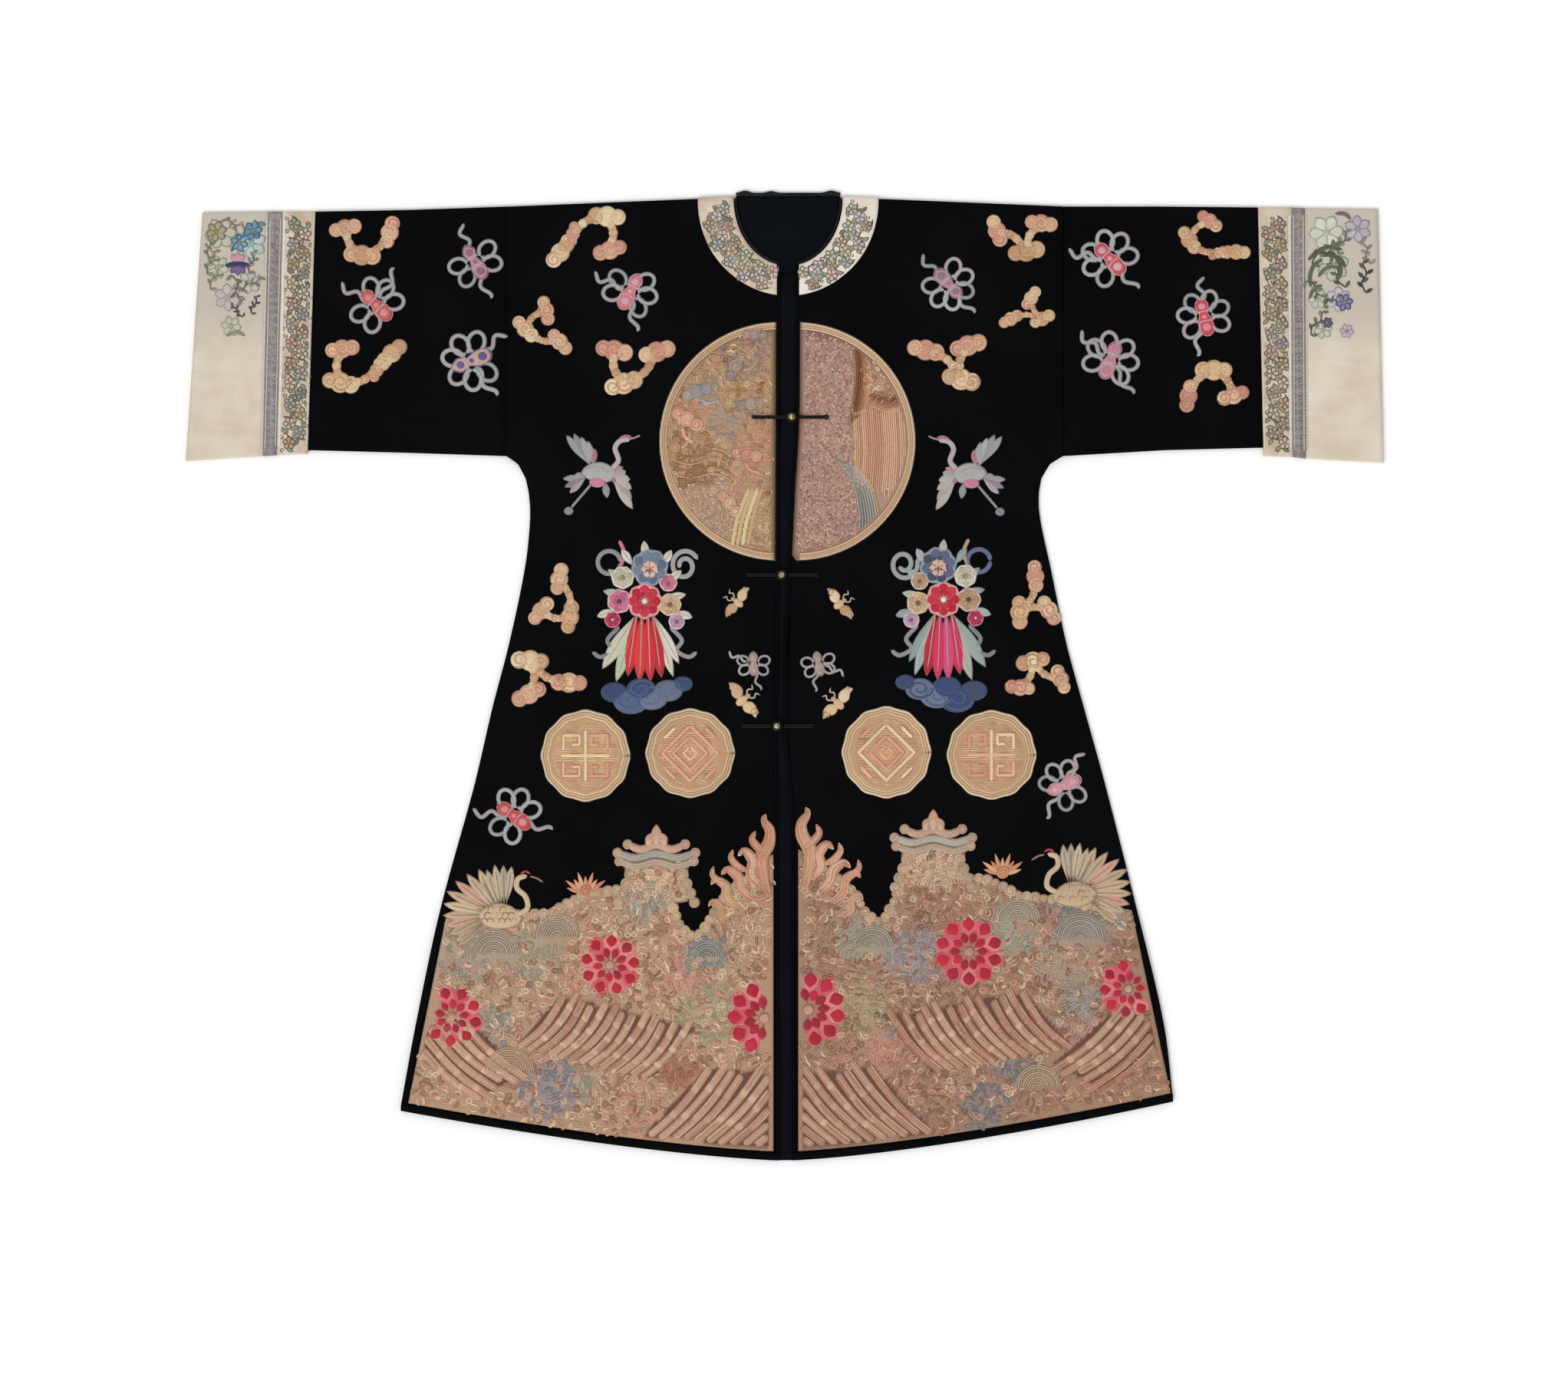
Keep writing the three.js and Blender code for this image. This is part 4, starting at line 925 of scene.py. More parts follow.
# The flower sprays.
# Two upright sprays of floss silk on blue clouds. Each has a great red flower with long hanging petals,
# pale green leaves beside it, a ring of smaller blossoms above, and grey ribbons that curl and wave.
SPRAYS = {
    "left": {
        "x": -166, "y": 64, "mirror": 1, "side": ("#c9728c", "#b85a7c"), "ring": "#8f8f91",
        "petals": ("#d3202a", "#bf1a28", "#de3436"), "crown": ("#5b6a80", "#6f7d8e"),
        "leaves": ("#cfc9b4", "#b4bfa2", "#d8cfc4"),
    },
    "right": {
        "x": 188, "y": 66, "mirror": -1, "side": ("#b39a6a", "#a58d62"), "ring": "#5f648a",
        "petals": ("#d3265a", "#b8182f", "#d8487c"), "crown": ("#41455f", "#5a607a"),
        "leaves": ("#9fada6", "#b1b5a2", "#8b9f9c"),
    },
}
BLUES = ("#3a4a68", "#2f4470", "#4d5f80", "#66708a")


def rosette(floss, x, y, radius, petals, colours, edge, heart, start=0.0, rings=2, rise=0.0):
    """An open flower: rings of petals with pale edges round a knotted heart."""
    for ring in range(rings):
        reach = radius * (1 - 0.38 * ring)
        for k in range(petals):
            turn = start + 2 * math.pi * (k + 0.5 * ring) / petals
            length, width = reach * 0.84, 6.6 * reach / petals
            base = spoke(x, y, 0.16 * reach, turn)
            outline = leaf_outline(*base, length, width, turn, 12, 0.68)
            floss.shape(outline, edge, 0.7, rise + 0.3 * ring, turn)
            base = spoke(x, y, 0.26 * reach, turn)
            inner = leaf_outline(*base, length * 0.76, width * 0.68, turn, 10, 0.62)
            floss.shape(inner, pick(colours), 0.55, rise + 0.3 * ring + 0.45, turn)
    floss.shape(ring_path(x, y, 0.17 * radius, 1.0, 12)[:-1], heart, 0.9, rise + 0.6)


def spray(floss, x, y, mirror, petals, crown, leaves, side, ring):
    """One upright spray over its cloud."""

    def at(*places):
        return turned(places, x, y, 0, 1.0, mirror)

    def blade(px, py, length, width, degrees, tone, rise):
        turn = math.radians(degrees if mirror > 0 else 180 - degrees)
        base = at((px, py))[0]
        floss.shape(leaf_outline(*base, length, width, turn, 16, 0.58), tone, 0.8, rise, turn)
        tip = spoke(*base, 0.88 * length, turn)
        floss.line(np.linspace(base, tip, 8), 1.3, "#b9b4a4", 0.35, rise + 0.75, fine=True)

    puffs = [(-36, -84, 12), (-16, -94, 16), (8, -90, 15), (28, -82, 13), (45, -74, 9), (-4, -80, 13)]
    for k, (cx, cy, radius) in enumerate(puffs):
        tones = (BLUES[k % 4], BLUES[(k + 1) % 4])
        disc(floss, *at((cx, cy))[0], radius, tones, 0.1 * k, 0, mirror, 1.35, 2.2)
    for hand in (-1, 1):
        knots = [(30 * hand, -6), (44 * hand, -22), (38 * hand, -34), (52 * hand, -42), (62 * hand, -36)]
        floss.line(at(*curve_through(*knots)), 5.4, pick(GREY), 0.7, ends=1.0)
    floss.line(coil(*at((47, 66))[0], 19, 1.5, 0.4, mirror, 0.3, 0.9), 6.0, "#9b9b99", 0.8, ends=0.6)
    floss.line(ring_path(*at((-42, 70))[0], 13.5, 1.0, 30), 5.6, ring, 0.8, ends=0.3)
    floss.line(at(*curve_through((-30, 62), (-24, 80), (-30, 96))), 4.6, side[0], 0.7, 0.1)
    hanging = [(-10, 238, 76, 17), (-8, 252, 84, 16), (10, -62, 66, 13), (10, -72, 78, 13)]
    for k, (px, degrees, length, width) in enumerate(hanging):
        blade(px, 8, length, width, degrees, leaves[k % 3], 0.1 * k)
    for k, (px, degrees, length) in enumerate([(-9, 262, 78), (9, -82, 80), (-3, 268, 84), (4, -88, 84)]):
        blade(px, 12, length, 17, degrees, petals[k % 3], 0.45 + 0.1 * k)
    upper = [(-20, 30, 30, 168), (20, 26, 30, 12), (-22, 44, 28, 140), (24, 44, 26, 40), (2, 70, 26, 96)]
    upper += [(-14, 66, 24, 124), (20, 64, 24, 60), (-34, 14, 24, 200), (36, 12, 22, -20)]
    for px, py, length, degrees in upper:
        blade(px, py, length, 10, degrees, pick(leaves), 0.3)
    flowers = [
        (-30, 24, 15, 7, side, "#d8b0b8", "#7a2038"),
        (30, 20, 14, 7, ("#b79a74", "#c9a98a"), "#dcc5a4", "#8a5a3a"),
        (-26, 52, 14, 7, ("#c4bda6", "#b3ae92"), "#dcd5c4", "#a8905a"),
        (6, 64, 23, 8, crown, "#8d98a6", "#d8ac96"),
        (-38, 2, 10, 6, ("#b8204a", "#a81a40"), "#d87a94", "#f0d0c0"),
        (38, 0, 10, 6, ("#b48aa4", "#c09ab0"), "#dcc4d0", "#8a5a7a"),
        (0, 24, 22, 8, ("#b8102c", "#c8283f"), "#e3a0a0", "#ecd8c8"),
        (28, 46, 11, 6, side, "#dcc0c4", "#c8283f"),
    ]
    for fx, fy, radius, count, colours, edge, heart in flowers:
        rosette(floss, *at((fx, fy))[0], radius, count, colours, edge, heart, start=0.3 * fx, rise=0.7)
    rosette(floss, *at((6, 62))[0], 11, 6, ("#d8ac96", "#e0b8a0"), "#ecd0be", "#b8504a", rise=1.3, rings=1)


# Where the motifs are worked: the clouds, birds and ribbons of the fronts, and those of the sleeves.
for side, sign in SIGN.items():
    for cloth, on_sleeve in (("front", False), ("sleeve", True)):
        gold, floss = Stitching(), Stitching()
        for row in CLOUDS:
            if row["x"] * sign > 0 and (abs(row["x"]) > SLEEVE_SEAM) == on_sleeve:
                cloud(gold, **row)
        for row in RIBBON_TIES:
            if row["x"] * sign > 0 and ((abs(row["x"]) > SLEEVE_SEAM) and row["y"] > 0) == on_sleeve:
                ribbon_tie(floss, **row)
        if not on_sleeve:
            for row in BATS:
                if row["x"] * sign > 0:
                    bat(gold, **row)
            crane(floss, **next(row for row in CRANES if row["x"] * sign > 0))
            spray(floss, **SPRAYS[side])
        finish_piece(gold.make(f"{cloth}_gold_motifs_{side}", gold_thread), "couching")
        finish_piece(floss.make(f"{cloth}_floss_motifs_{side}", floss_silk), "band_silk")

# The four round medallions.
# Each is a padded disc of couched gold with a lobed rim and four turns of cord inside it. Rows of short
# bars fill it, under a fret of crossed or lozenge lines in paler and pinker gold.
MEDALLION = {"radius": 53.5, "lobes": 12, "lobe_depth": 1.6}
MEDALLIONS = rows(
    "x y stretch fret",
    (-236, -95, 1.03, "cross"), (-112, -92, 1.0, "lozenge"), (120.5, -91, 1.03, "lozenge"),
    (245, -94, 1.0, "cross"),
)
MEDALLION_BARS = (("#e3c698", "#d8b286", "#dcb890"), ("#d8ac84", "#dcb08a", "#cf9c7a", "#d6a488"))
HOOK = ((26, 6), (26, 24), (7, 24), (7, 13), (17, 13))
FRETS = {
    "cross": [
        *([(x * hand, y * up) for x, y in HOOK] for up in (1, -1) for hand in (-1, 1)),
        [(0, -31), (0, 31)], [(-30, 0), (30, 0)],
    ],
    "lozenge": [
        *([(0, half), (half, 0), (0, -half), (-half, 0), (0, half)] for half in (33, 20, 8)),
        [(-31, 17), (-17, 31)], [(17, 31), (31, 17)], [(-31, -17), (-17, -31)], [(17, -31), (31, -17)],
    ],
}


def straight_path(knots, step=2.4):
    """Points along straight runs between knots."""
    knots = np.asarray(knots, dtype=float)
    path = [knots[:1]]
    for a, b in zip(knots, knots[1:]):
        count = max(2, int(np.linalg.norm(b - a) / step))
        path.append(a + (b - a) * (np.arange(1, count + 1) / count)[:, None])
    return np.concatenate(path)


for number, row in enumerate(MEDALLIONS, 1):
    badge = Stitching(base=0.1)
    angle = np.linspace(0, 2 * math.pi, 145)

    def lobed(share):
        dip = MEDALLION["lobe_depth"] * (1 - np.cos(MEDALLION["lobes"] * angle)) / 2
        reach = share * (MEDALLION["radius"] - dip)
        return arc(row["x"], row["y"], angle, reach, row["stretch"] * reach)

    badge.shape(lobed(1.0)[:-1], "#c49c78", 1.0)
    for share, tone in ((0.965, "#d9c0a2"), (0.905, "#cfae88"), (0.845, "#d8bb94"), (0.785, "#c69d7c")):
        badge.line(lobed(share), 3.0, tone, 0.7, 0.5, ends=0.1)
    inside = MEDALLION["radius"] * 0.75
    for k in np.arange(-inside + 2, inside, 2.7):
        half = math.sqrt(max(inside**2 - k**2, 1.0)) - 1.5
        tones = MEDALLION_BARS[int(k / 8) % 2]
        for a, b in ((-half, -0.3 * half), (-0.3 * half, 0.4 * half), (0.4 * half, half)):
            run = straight_path([(row["x"] + a, row["y"] + k), (row["x"] + b, row["y"] + k)], 6.0)
            badge.line(run, 2.6, pick(tones), 0.5, 0.75, ends=0.1, fine=True)
    for knots in FRETS[row["fret"]]:
        path = straight_path(knots) + (row["x"], row["y"])
        badge.line(path, 5.8, pick(("#c69270", "#c99878")), 0.3, 1.05, ends=0.3)
        badge.line(path, 4.2, pick(("#e0a486", "#d89c80", "#e8cfa4", "#e3b294")), 0.7, 1.1, ends=0.3)
    finish_piece(badge.make(f"medallion_work_{number}", gold_thread), "couching", f"medallion_{number}")

# The chest roundel.
# One round badge in two halves, each sewn to its own front. The left half is worked in scrolls of couched
# gold, the right in seed knots with a fan of straight couched gold beside them. Both have a rim of cord.
ROUNDEL = {"radius": 141.5, "y": 277.5, "left": -7.3, "right": 13.6}
EDGE_BINDING = 4
ROUNDEL_GROUND = {"left": "#bb9876", "right": "#b5917f"}


def roundel_outline(side):
    """Outline of one half, anticlockwise. Its straight side follows the front edge."""
    middle, sign, radius = ROUNDEL[side], SIGN[side], ROUNDEL["radius"]
    angle = np.linspace(-math.pi / 2, math.pi / 2, 90)
    rim = arc(middle, ROUNDEL["y"], angle, sign * radius, radius)
    level = np.linspace(ROUNDEL["y"] + radius, ROUNDEL["y"] - radius, 40)[1:-1]
    edge = np.stack([opening_x[side](level) + sign * (EDGE_BINDING + GAP), level], axis=1)
    outline = np.concatenate([rim, edge])
    limit = opening_x[side](outline[:, 1]) + sign * (EDGE_BINDING + GAP)
    outline[:, 0] = np.minimum(outline[:, 0], limit) if side == "left" else np.maximum(outline[:, 0], limit)
    return outline if side == "right" else outline[::-1]


def in_roundel(side, x, y, inset):
    """Whether places are inside one half, clear of its rim."""
    edge = opening_x[side](y) + SIGN[side] * (EDGE_BINDING + GAP + 0.6 * inset)
    beyond = x < edge if side == "left" else x > edge
    return beyond & (np.hypot(x - ROUNDEL[side], y - ROUNDEL["y"]) < ROUNDEL["radius"] - inset)


def keep_runs(path, inside, least=4):
    """The stretches of a path where it is inside."""
    cuts = np.flatnonzero(np.diff(inside.astype(int))) + 1
    parts = zip(np.split(path, cuts), np.split(inside, cuts))
    return [run for run, kept in parts if kept[0] and len(run) >= least]


def filler(work, x, y, radius, direction, tones, thread, rise):
    """One small scroll that fills a place: a coil with a tail, nested arcs or a pair of leaves."""
    form, hand = RANDOM.integers(4), 1 if RANDOM.random() < 0.5 else -1
    if form <= 1:
        spiral = coil(x, y, radius, 1.4, direction, hand, 0.2, 1.15, 3.2)
        work.line(spiral, thread, pick(tones), 0.7, rise, fine=True)
        knots = [(radius, 0), (radius * 1.3, hand * radius * 0.7), (radius * 0.9, hand * radius * 1.5)]
        tail = curve_through(*turned(knots, x, y, direction), step=2.6)
        work.line(tail, thread, pick(tones), 0.6, rise, fine=True)
    elif form == 2:
        for k in range(3):
            bow = radius * (1.1 - 0.34 * k)
            angle = direction + np.linspace(-1.5, 1.5, max(5, int(bow)))
            work.line(arc(x, y, angle, bow, bow), thread, pick(tones), 0.7, rise + 0.1 * k, fine=True)
    else:
        for k in (-1, 1):
            knots = [(-radius, 2 * k), (-0.2 * radius, 4.2 * k), (radius * 1.2, 1.6 * k)]
            path = turned(curve_through(*knots, step=2.6), x, y, direction)
            work.line(path, thread * 1.25, pick(tones), 0.8, rise, fine=True)


def lattice(x_range, y_range, pitch, scatter):
    """Places on a loose triangular grid."""
    grid = []
    for row, y in enumerate(np.arange(*y_range, pitch * 0.866)):
        grid += [(x, y) for x in np.arange(x_range[0] + (row % 2) * pitch / 2, x_range[1], pitch)]
    return np.array(grid) + scatter * RANDOM.uniform(-1, 1, (len(grid), 2))


def nearby(table, x, y, otherwise, chance=0.85):
    """Tones of the first patch that covers a place, or the general ones."""
    near = [row for row in table if math.hypot(x - row["x"], y - row["y"]) < row["reach"]]
    return near[0]["tones"] if near and RANDOM.random() < chance else otherwise


for side, sign in SIGN.items():
    ground = Stitching(base=0.1)
    centre = (ROUNDEL[side] + sign * 0.42 * ROUNDEL["radius"], ROUNDEL["y"])
    ground.shape(roundel_outline(side), ROUNDEL_GROUND[side], 0.9, turn=math.pi / 2, centre=centre)
    for k, tone in enumerate(("#d6bd9c", "#c9a482", "#d2b08c")):
        angle = np.linspace(-math.pi / 2 + 0.02, math.pi / 2 - 0.02, 170)
        reach = ROUNDEL["radius"] - 2.2 - 2.8 * k
        path = arc(ROUNDEL[side], ROUNDEL["y"], angle, sign * reach, reach)
        for run in keep_runs(path, in_roundel(side, path[:, 0], path[:, 1], 0.5)):
            ground.line(run, 2.8, tone, 0.6, 0.45)
    finish_piece(ground.make(f"roundel_ground_{side}", gold_thread), "couching", f"roundel_{side}")

SCROLL_TONES = ("#dcb88c", "#c49a70", "#e6cba0", "#b98a64", "#d8a488", "#cfae8c", "#a87c58")
ROUNDEL_TONES = rows(
    "x y reach tones",
    (-96, 340, 20, ("#a39a98", "#a9a2a4", "#b5a890")), (-106, 314, 22, ("#d89c80", "#e0ae90", "#cf9480")),
    (-74, 298, 18, ("#a8a296", "#b5aa96", "#a09896")), (-34, 276, 28, ("#d89c84", "#e0ae92", "#cc9280")),
    (-40, 386, 34, ("#a68f88", "#b89a8c", "#c0a088")), (-52, 300, 26, ("#a08a80", "#b0998c", "#bfa490")),
    (-48, 232, 24, ("#d49a8c", "#dcae94", "#c4947f")), (-118, 262, 34, ("#b58c66", "#c79c74", "#a67c58")),
    (-110, 212, 38, ("#b09a8c", "#b89c86", "#c4a78e")), (-90, 178, 24, ("#9c9a98", "#aba29a", "#b89c8c")),
    (-30, 168, 34, ("#d0b68c", "#d6bb92", "#c4a880")),
)


def knotted_corner(x, y):
    """The lower left part of the roundel's left half, worked in seed knots."""
    top = 238 - 0.22 * (x + 130) + 8 * math.sin(x / 13)
    return in_roundel("left", x, y, 11) and y < top and x < -66 + 4 * math.sin(y / 9)


scrolls = Stitching(base=0.1)
for x, y in lattice((-150, -6), (134, 420), 8.4, 1.2):
    if in_roundel("left", x, y, 12) and not knotted_corner(x, y):
        flow = math.atan2(y - 300, x + 60) + math.pi / 2 + 0.5 * math.sin(x / 23)
        filler(scrolls, x, y, 3.9, flow, nearby(ROUNDEL_TONES, x, y, SCROLL_TONES), 2.2, 0.8)
puffs = [(-104, 336, 9, 20), (-116, 304, 10, -30), (-58, 366, 9, 60), (-46, 262, 9, -10)]
puffs += [(-112, 236, 9, 40), (-66, 204, 9, -50), (-40, 322, 8, 10), (-130, 270, 7, 80), (-36, 404, 7, 0)]
for x, y, radius, degrees in puffs:
    turn = math.radians(degrees)
    tones = nearby(ROUNDEL_TONES, x, y, SCROLL_TONES, 1.0)
    for k in (-1, 0, 1):
        place = spoke(x, y, 1.3 * k * radius, turn)
        disc(scrolls, *place, radius * (1 - 0.2 * abs(k)), tones, 1.0, turn + k, 1 if k > 0 else -1)
    tail = turned([(0, -radius), (8, -1.9 * radius), (22, -2.1 * radius)], x, y, turn)
    scrolls.line(curve_through(*tail), 4.2, pick(tones), 0.8, 1.0, ends=1.2)
for k, tone in enumerate(("#dcc498", "#cfae80", "#e3cfa4", "#cba67c")):
    stem = curve_through((-62 + 6 * k, 154), (-56 + 6 * k, 186), (-42 + 5 * k, 222))
    scrolls.line(stem, 5.8, tone, 0.8, 1.1, ends=1.5)
for k in range(4):
    knots = ((-142, 268 - 9 * k), (-112, 258 - 8 * k), (-84, 266 - 9 * k), (-64, 256 - 8 * k))
    band = curve_through(*knots, step=3)
    for run in keep_runs(band, in_roundel("left", band[:, 0], band[:, 1], 11)):
        scrolls.line(run, 2.6, ("#a87e5c", "#d0ac88")[k % 2], 0.7, 1.3, fine=True)
finish_piece(scrolls.make("roundel_scrolls_left", gold_thread), "couching")

# The right half's laid work: a fan of straight threads, the dark stems that bound it, and a grey arc.
FAN = {"left": 82, "right": 158, "top": 318, "foot": 226}
FAN_TOP_TONES = ("#dcb490", "#e8ceaa", "#c08e70", "#dca888")
FAN_FOOT_TONES = ("#e3c49c", "#e6d0a8", "#cfa780", "#dcae90")
fan = Stitching(base=0.1)


def fan_line(path, width, tone, rise=0.85):
    for run in keep_runs(path, in_roundel("right", path[:, 0], path[:, 1], 11)):
        fan.line(run, width, tone, 0.75, rise, fine=True)


for x in np.arange(FAN["left"], FAN["right"], 2.45):
    foot = FAN["foot"] - 0.3 * (x - FAN["left"]) + 6 * math.sin(x)
    path = straight_path([(x, foot), (x + 1.2, FAN["foot"] + 40), (x, FAN["top"] + 3 * math.sin(x / 5))], 4)
    path[:, 0] += 0.8 * np.sin(path[:, 1] / 19)
    fan_line(path, 2.4, pick(("#e3b592", "#eac29e", "#d8a888", "#edc8a6", "#e0b694")))
BANK = ("#ab8064", "#94654a", "#8a5b42", "#9a6a4c", "#ad7c5a", "#bb8c68", "#c79a76", "#d0a684")
for k, tone in enumerate(BANK):
    out = 2.5 * k
    bank = ((79 + out, 404 - 3 * k), (84 + out, 362), (81 + out, 328), (76 + out, 296 + 2 * k))
    fan_line(curve_through(*bank), 2.8, tone, 1.0)
    fan_line(curve_through((100, 338 - out), (122, 331 - out), (150, 336 - out)), 2.8, tone, 0.95)
for k in range(8):
    out = 3.3 * k
    bow = curve_through((62 + out, 256 - k), (81 + out, 228 - k), (89 + out, 188 - k), (85 + out, 158))
    fan_line(bow, 3.4, pick(("#a39f94", "#b3ac9e", "#9a978f") if k < 7 else PALE_GOLD), 0.95)
for x, y in lattice((84, 154), (140, 420), 8.0, 1.0):
    upper = y > FAN["top"] + 8 and x > 92
    lower = y < FAN["foot"] - 10 and x > 116
    if (upper or lower) and in_roundel("right", x, y, 12):
        filler(fan, x, y, 3.8, 0.8, FAN_TOP_TONES if upper else FAN_FOOT_TONES, 2.5, 0.8)
finish_piece(fan.make("roundel_fan_right", gold_thread), "couching")


# The height of the knots' bed, the shares of the pitch between knots and across one, and a density that
# is far over what that spacing lets in.
KNOT = {"bed": 0.95, "spacing": 0.86, "radius": 0.46, "density": 400000.0}


def knot_field(name, outline_test, x_range, y_range, pitch, material, colours, seed):
    """Seed knots scattered over part of a badge by a Geometry Nodes tree, as one plain mesh."""
    places = [place for place in lattice(x_range, y_range, pitch, 0) if outline_test(*place)]
    cell = pitch * np.array([(-0.5, -0.43), (0.5, -0.43), (0.5, 0.43), (-0.5, 0.43)])
    corners = (np.array(places)[:, None] + cell).reshape(-1, 2)
    cells = np.arange(len(corners)).reshape(-1, 4).tolist()
    bed = make_object(name + "_bed", on_cloth(*corners.T, CLOTH + KNOT["bed"]), cells, material)

    tree = bpy.data.node_groups.new("seed_knots", "GeometryNodeTree")
    face = tree.interface
    face.new_socket("Bed", in_out="INPUT", socket_type="NodeSocketGeometry")
    face.new_socket("Knots", in_out="OUTPUT", socket_type="NodeSocketGeometry")
    spacing, radius = pitch * KNOT["spacing"] * METRES, KNOT["radius"] * pitch * METRES
    sizes = {"Spacing": spacing, "Knot radius": radius, "Seed": seed}
    sockets = {
        key: face.new_socket(key, in_out="INPUT", socket_type=kind)
        for key, kind in zip(sizes, ("NodeSocketFloat", "NodeSocketFloat", "NodeSocketInt"))
    }
    given = add_node(tree, "NodeGroupInput")
    inputs = {
        "Mesh": given.outputs["Bed"],
        "Distance Min": given.outputs["Spacing"],
        "Density Max": KNOT["density"],
        "Seed": given.outputs["Seed"],
    }
    scatter = add_node(tree, "GeometryNodeDistributePointsOnFaces", inputs, distribute_method="POISSON")
    inputs = {"Radius": given.outputs["Knot radius"], "Subdivisions": 1}
    bead = add_node(tree, "GeometryNodeMeshIcoSphere", inputs)
    inputs = {"Geometry": bead.outputs["Mesh"], "Scale": (1.0, 1.0, 0.7)}
    flat = add_node(tree, "GeometryNodeTransform", inputs)
    inputs = {2: 0.8, 3: 1.15, "Seed": given.outputs["Seed"]}
    size = add_node(tree, "FunctionNodeRandomValue", inputs, data_type="FLOAT")
    inputs = {"Points": scatter.outputs["Points"], "Instance": flat.outputs["Geometry"]}
    inputs["Scale"] = size.outputs[1]
    knots = add_node(tree, "GeometryNodeInstanceOnPoints", inputs)
    choice = add_node(tree, "FunctionNodeRandomValue", {2: 0.0, 3: 1.0, "Seed": 3}, data_type="FLOAT")
    ramp = add_node(tree, "ShaderNodeValToRGB", {"Fac": choice.outputs[1]})
    ramp.color_ramp.interpolation = "CONSTANT"
    ramp.color_ramp.elements[0].color = linear(colours[0])
    ramp.color_ramp.elements[1].position = 1 / len(colours)
    ramp.color_ramp.elements[1].color = linear(colours[1])
    for k, colour in enumerate(colours[2:], 2):
        ramp.color_ramp.elements.new(k / len(colours)).color = linear(colour)
    inputs = {"Geometry": knots.outputs["Instances"], "Name": "dye", "Value": ramp.outputs["Color"]}
    settings = {"data_type": "FLOAT_COLOR", "domain": "INSTANCE"}
    dyed = add_node(tree, "GeometryNodeStoreNamedAttribute", inputs, **settings)
    real = add_node(tree, "GeometryNodeRealizeInstances", {"Geometry": dyed.outputs["Geometry"]})
    inputs = {"Geometry": real.outputs["Geometry"], "Material": material}
    made = add_node(tree, "GeometryNodeSetMaterial", inputs)
    add_node(tree, "NodeGroupOutput", {"Knots": made.outputs["Geometry"]})

    modifier = bed.modifiers.new("knots", "NODES")
    modifier.node_group = tree
    for key, socket in sockets.items():
        modifier[socket.identifier] = sizes[key]
    mesh = bpy.data.meshes.new_from_object(bed.evaluated_get(bpy.context.evaluated_depsgraph_get()))
    mesh.name = name
    bpy.data.objects.remove(bed)
    piece = bpy.data.objects.new(name, mesh)
    bpy.context.scene.collection.objects.link(piece)
    return piece


# Silk knots: each is one twisted stitch, so small, round and matt.
knot_silk, tree, shader = start_material("twisted_silk_knots", Roughness=0.6, Specular_IOR_Level=0.25)
dye = add_node(tree, "ShaderNodeAttribute", attribute_name="dye")
place = add_node(tree, "ShaderNodeTexCoord").outputs["Object"]
twist = add_node(tree, "ShaderNodeTexNoise", {"Vector": place, "Scale": 700.0, "Detail": 2.0})
finish_material(tree, shader, dye.outputs["Color"], twist.outputs["Fac"], 0.5)


def knotted_part(x, y):
    """The part of the right half that is worked in seed knots."""
    inner_edge = 81 + 0.2 * max(0, 226 - y)
    return in_roundel("right", x, y, 11) and x < inner_edge


tones = ("#7f6668", "#bd9688", "#c8a592", "#8d6c66", "#d0b39c", "#968080", "#ad8074")
knots = knot_field(
    "roundel_knots_right", knotted_part, (10, 130), (136, 420), 3.0, knot_silk, tones, 11
)
finish_piece(knots, "couching")
tones = ("#93868a", "#c4a690", "#d3b8a0", "#a28e84", "#d0a690", "#a8a09c", "#b88f7a")
knots = knot_field(
    "roundel_knots_left", knotted_corner, (-150, -58), (136, 252), 3.2, knot_silk, tones, 12
)
finish_piece(knots, "couching")

# The sea border.
# Couched gold and floss silk fill the skirt above the hem, slightly padded. Below are slanting bars of
# standing water, rolling waves and open flowers, and above them rocks, coral, flames and a standing crane.
TRIM = 1.1
HEM_BINDING = 9
BORDER = {
    "left": {"inner": -13.5, "low": -446, "high": -401},
    "right": {"inner": 16, "low": 457, "high": 411},
}
WATERLINE = rows(
    "out left right",
    (0, -212, -206), (16, -220, -214), (34, -238, -228), (52, -254, -242), (68, -270, -256),
    (80, -294, -278), (100, -304, -286), (114, -284, -262), (128, -252, -226), (160, -244, -218),
    (186, -250, -232), (230, -258, -240), (262, -276, -256), (310, -280, -262), (350, -282, -270),
    (395, -286, -278),
)
WATER_TONES = (
    "#dcb896", "#ad846a", "#e6cba8", "#b98c72", "#d69c86", "#cba688", "#a0785f", "#e2b49e", "#d8c09c",
)
# Darker and redder threads that the right half of the water has besides.
RIGHT_TONES = ("#a0765c", "#a88070", "#947058", "#b58a70", "#b88a78")
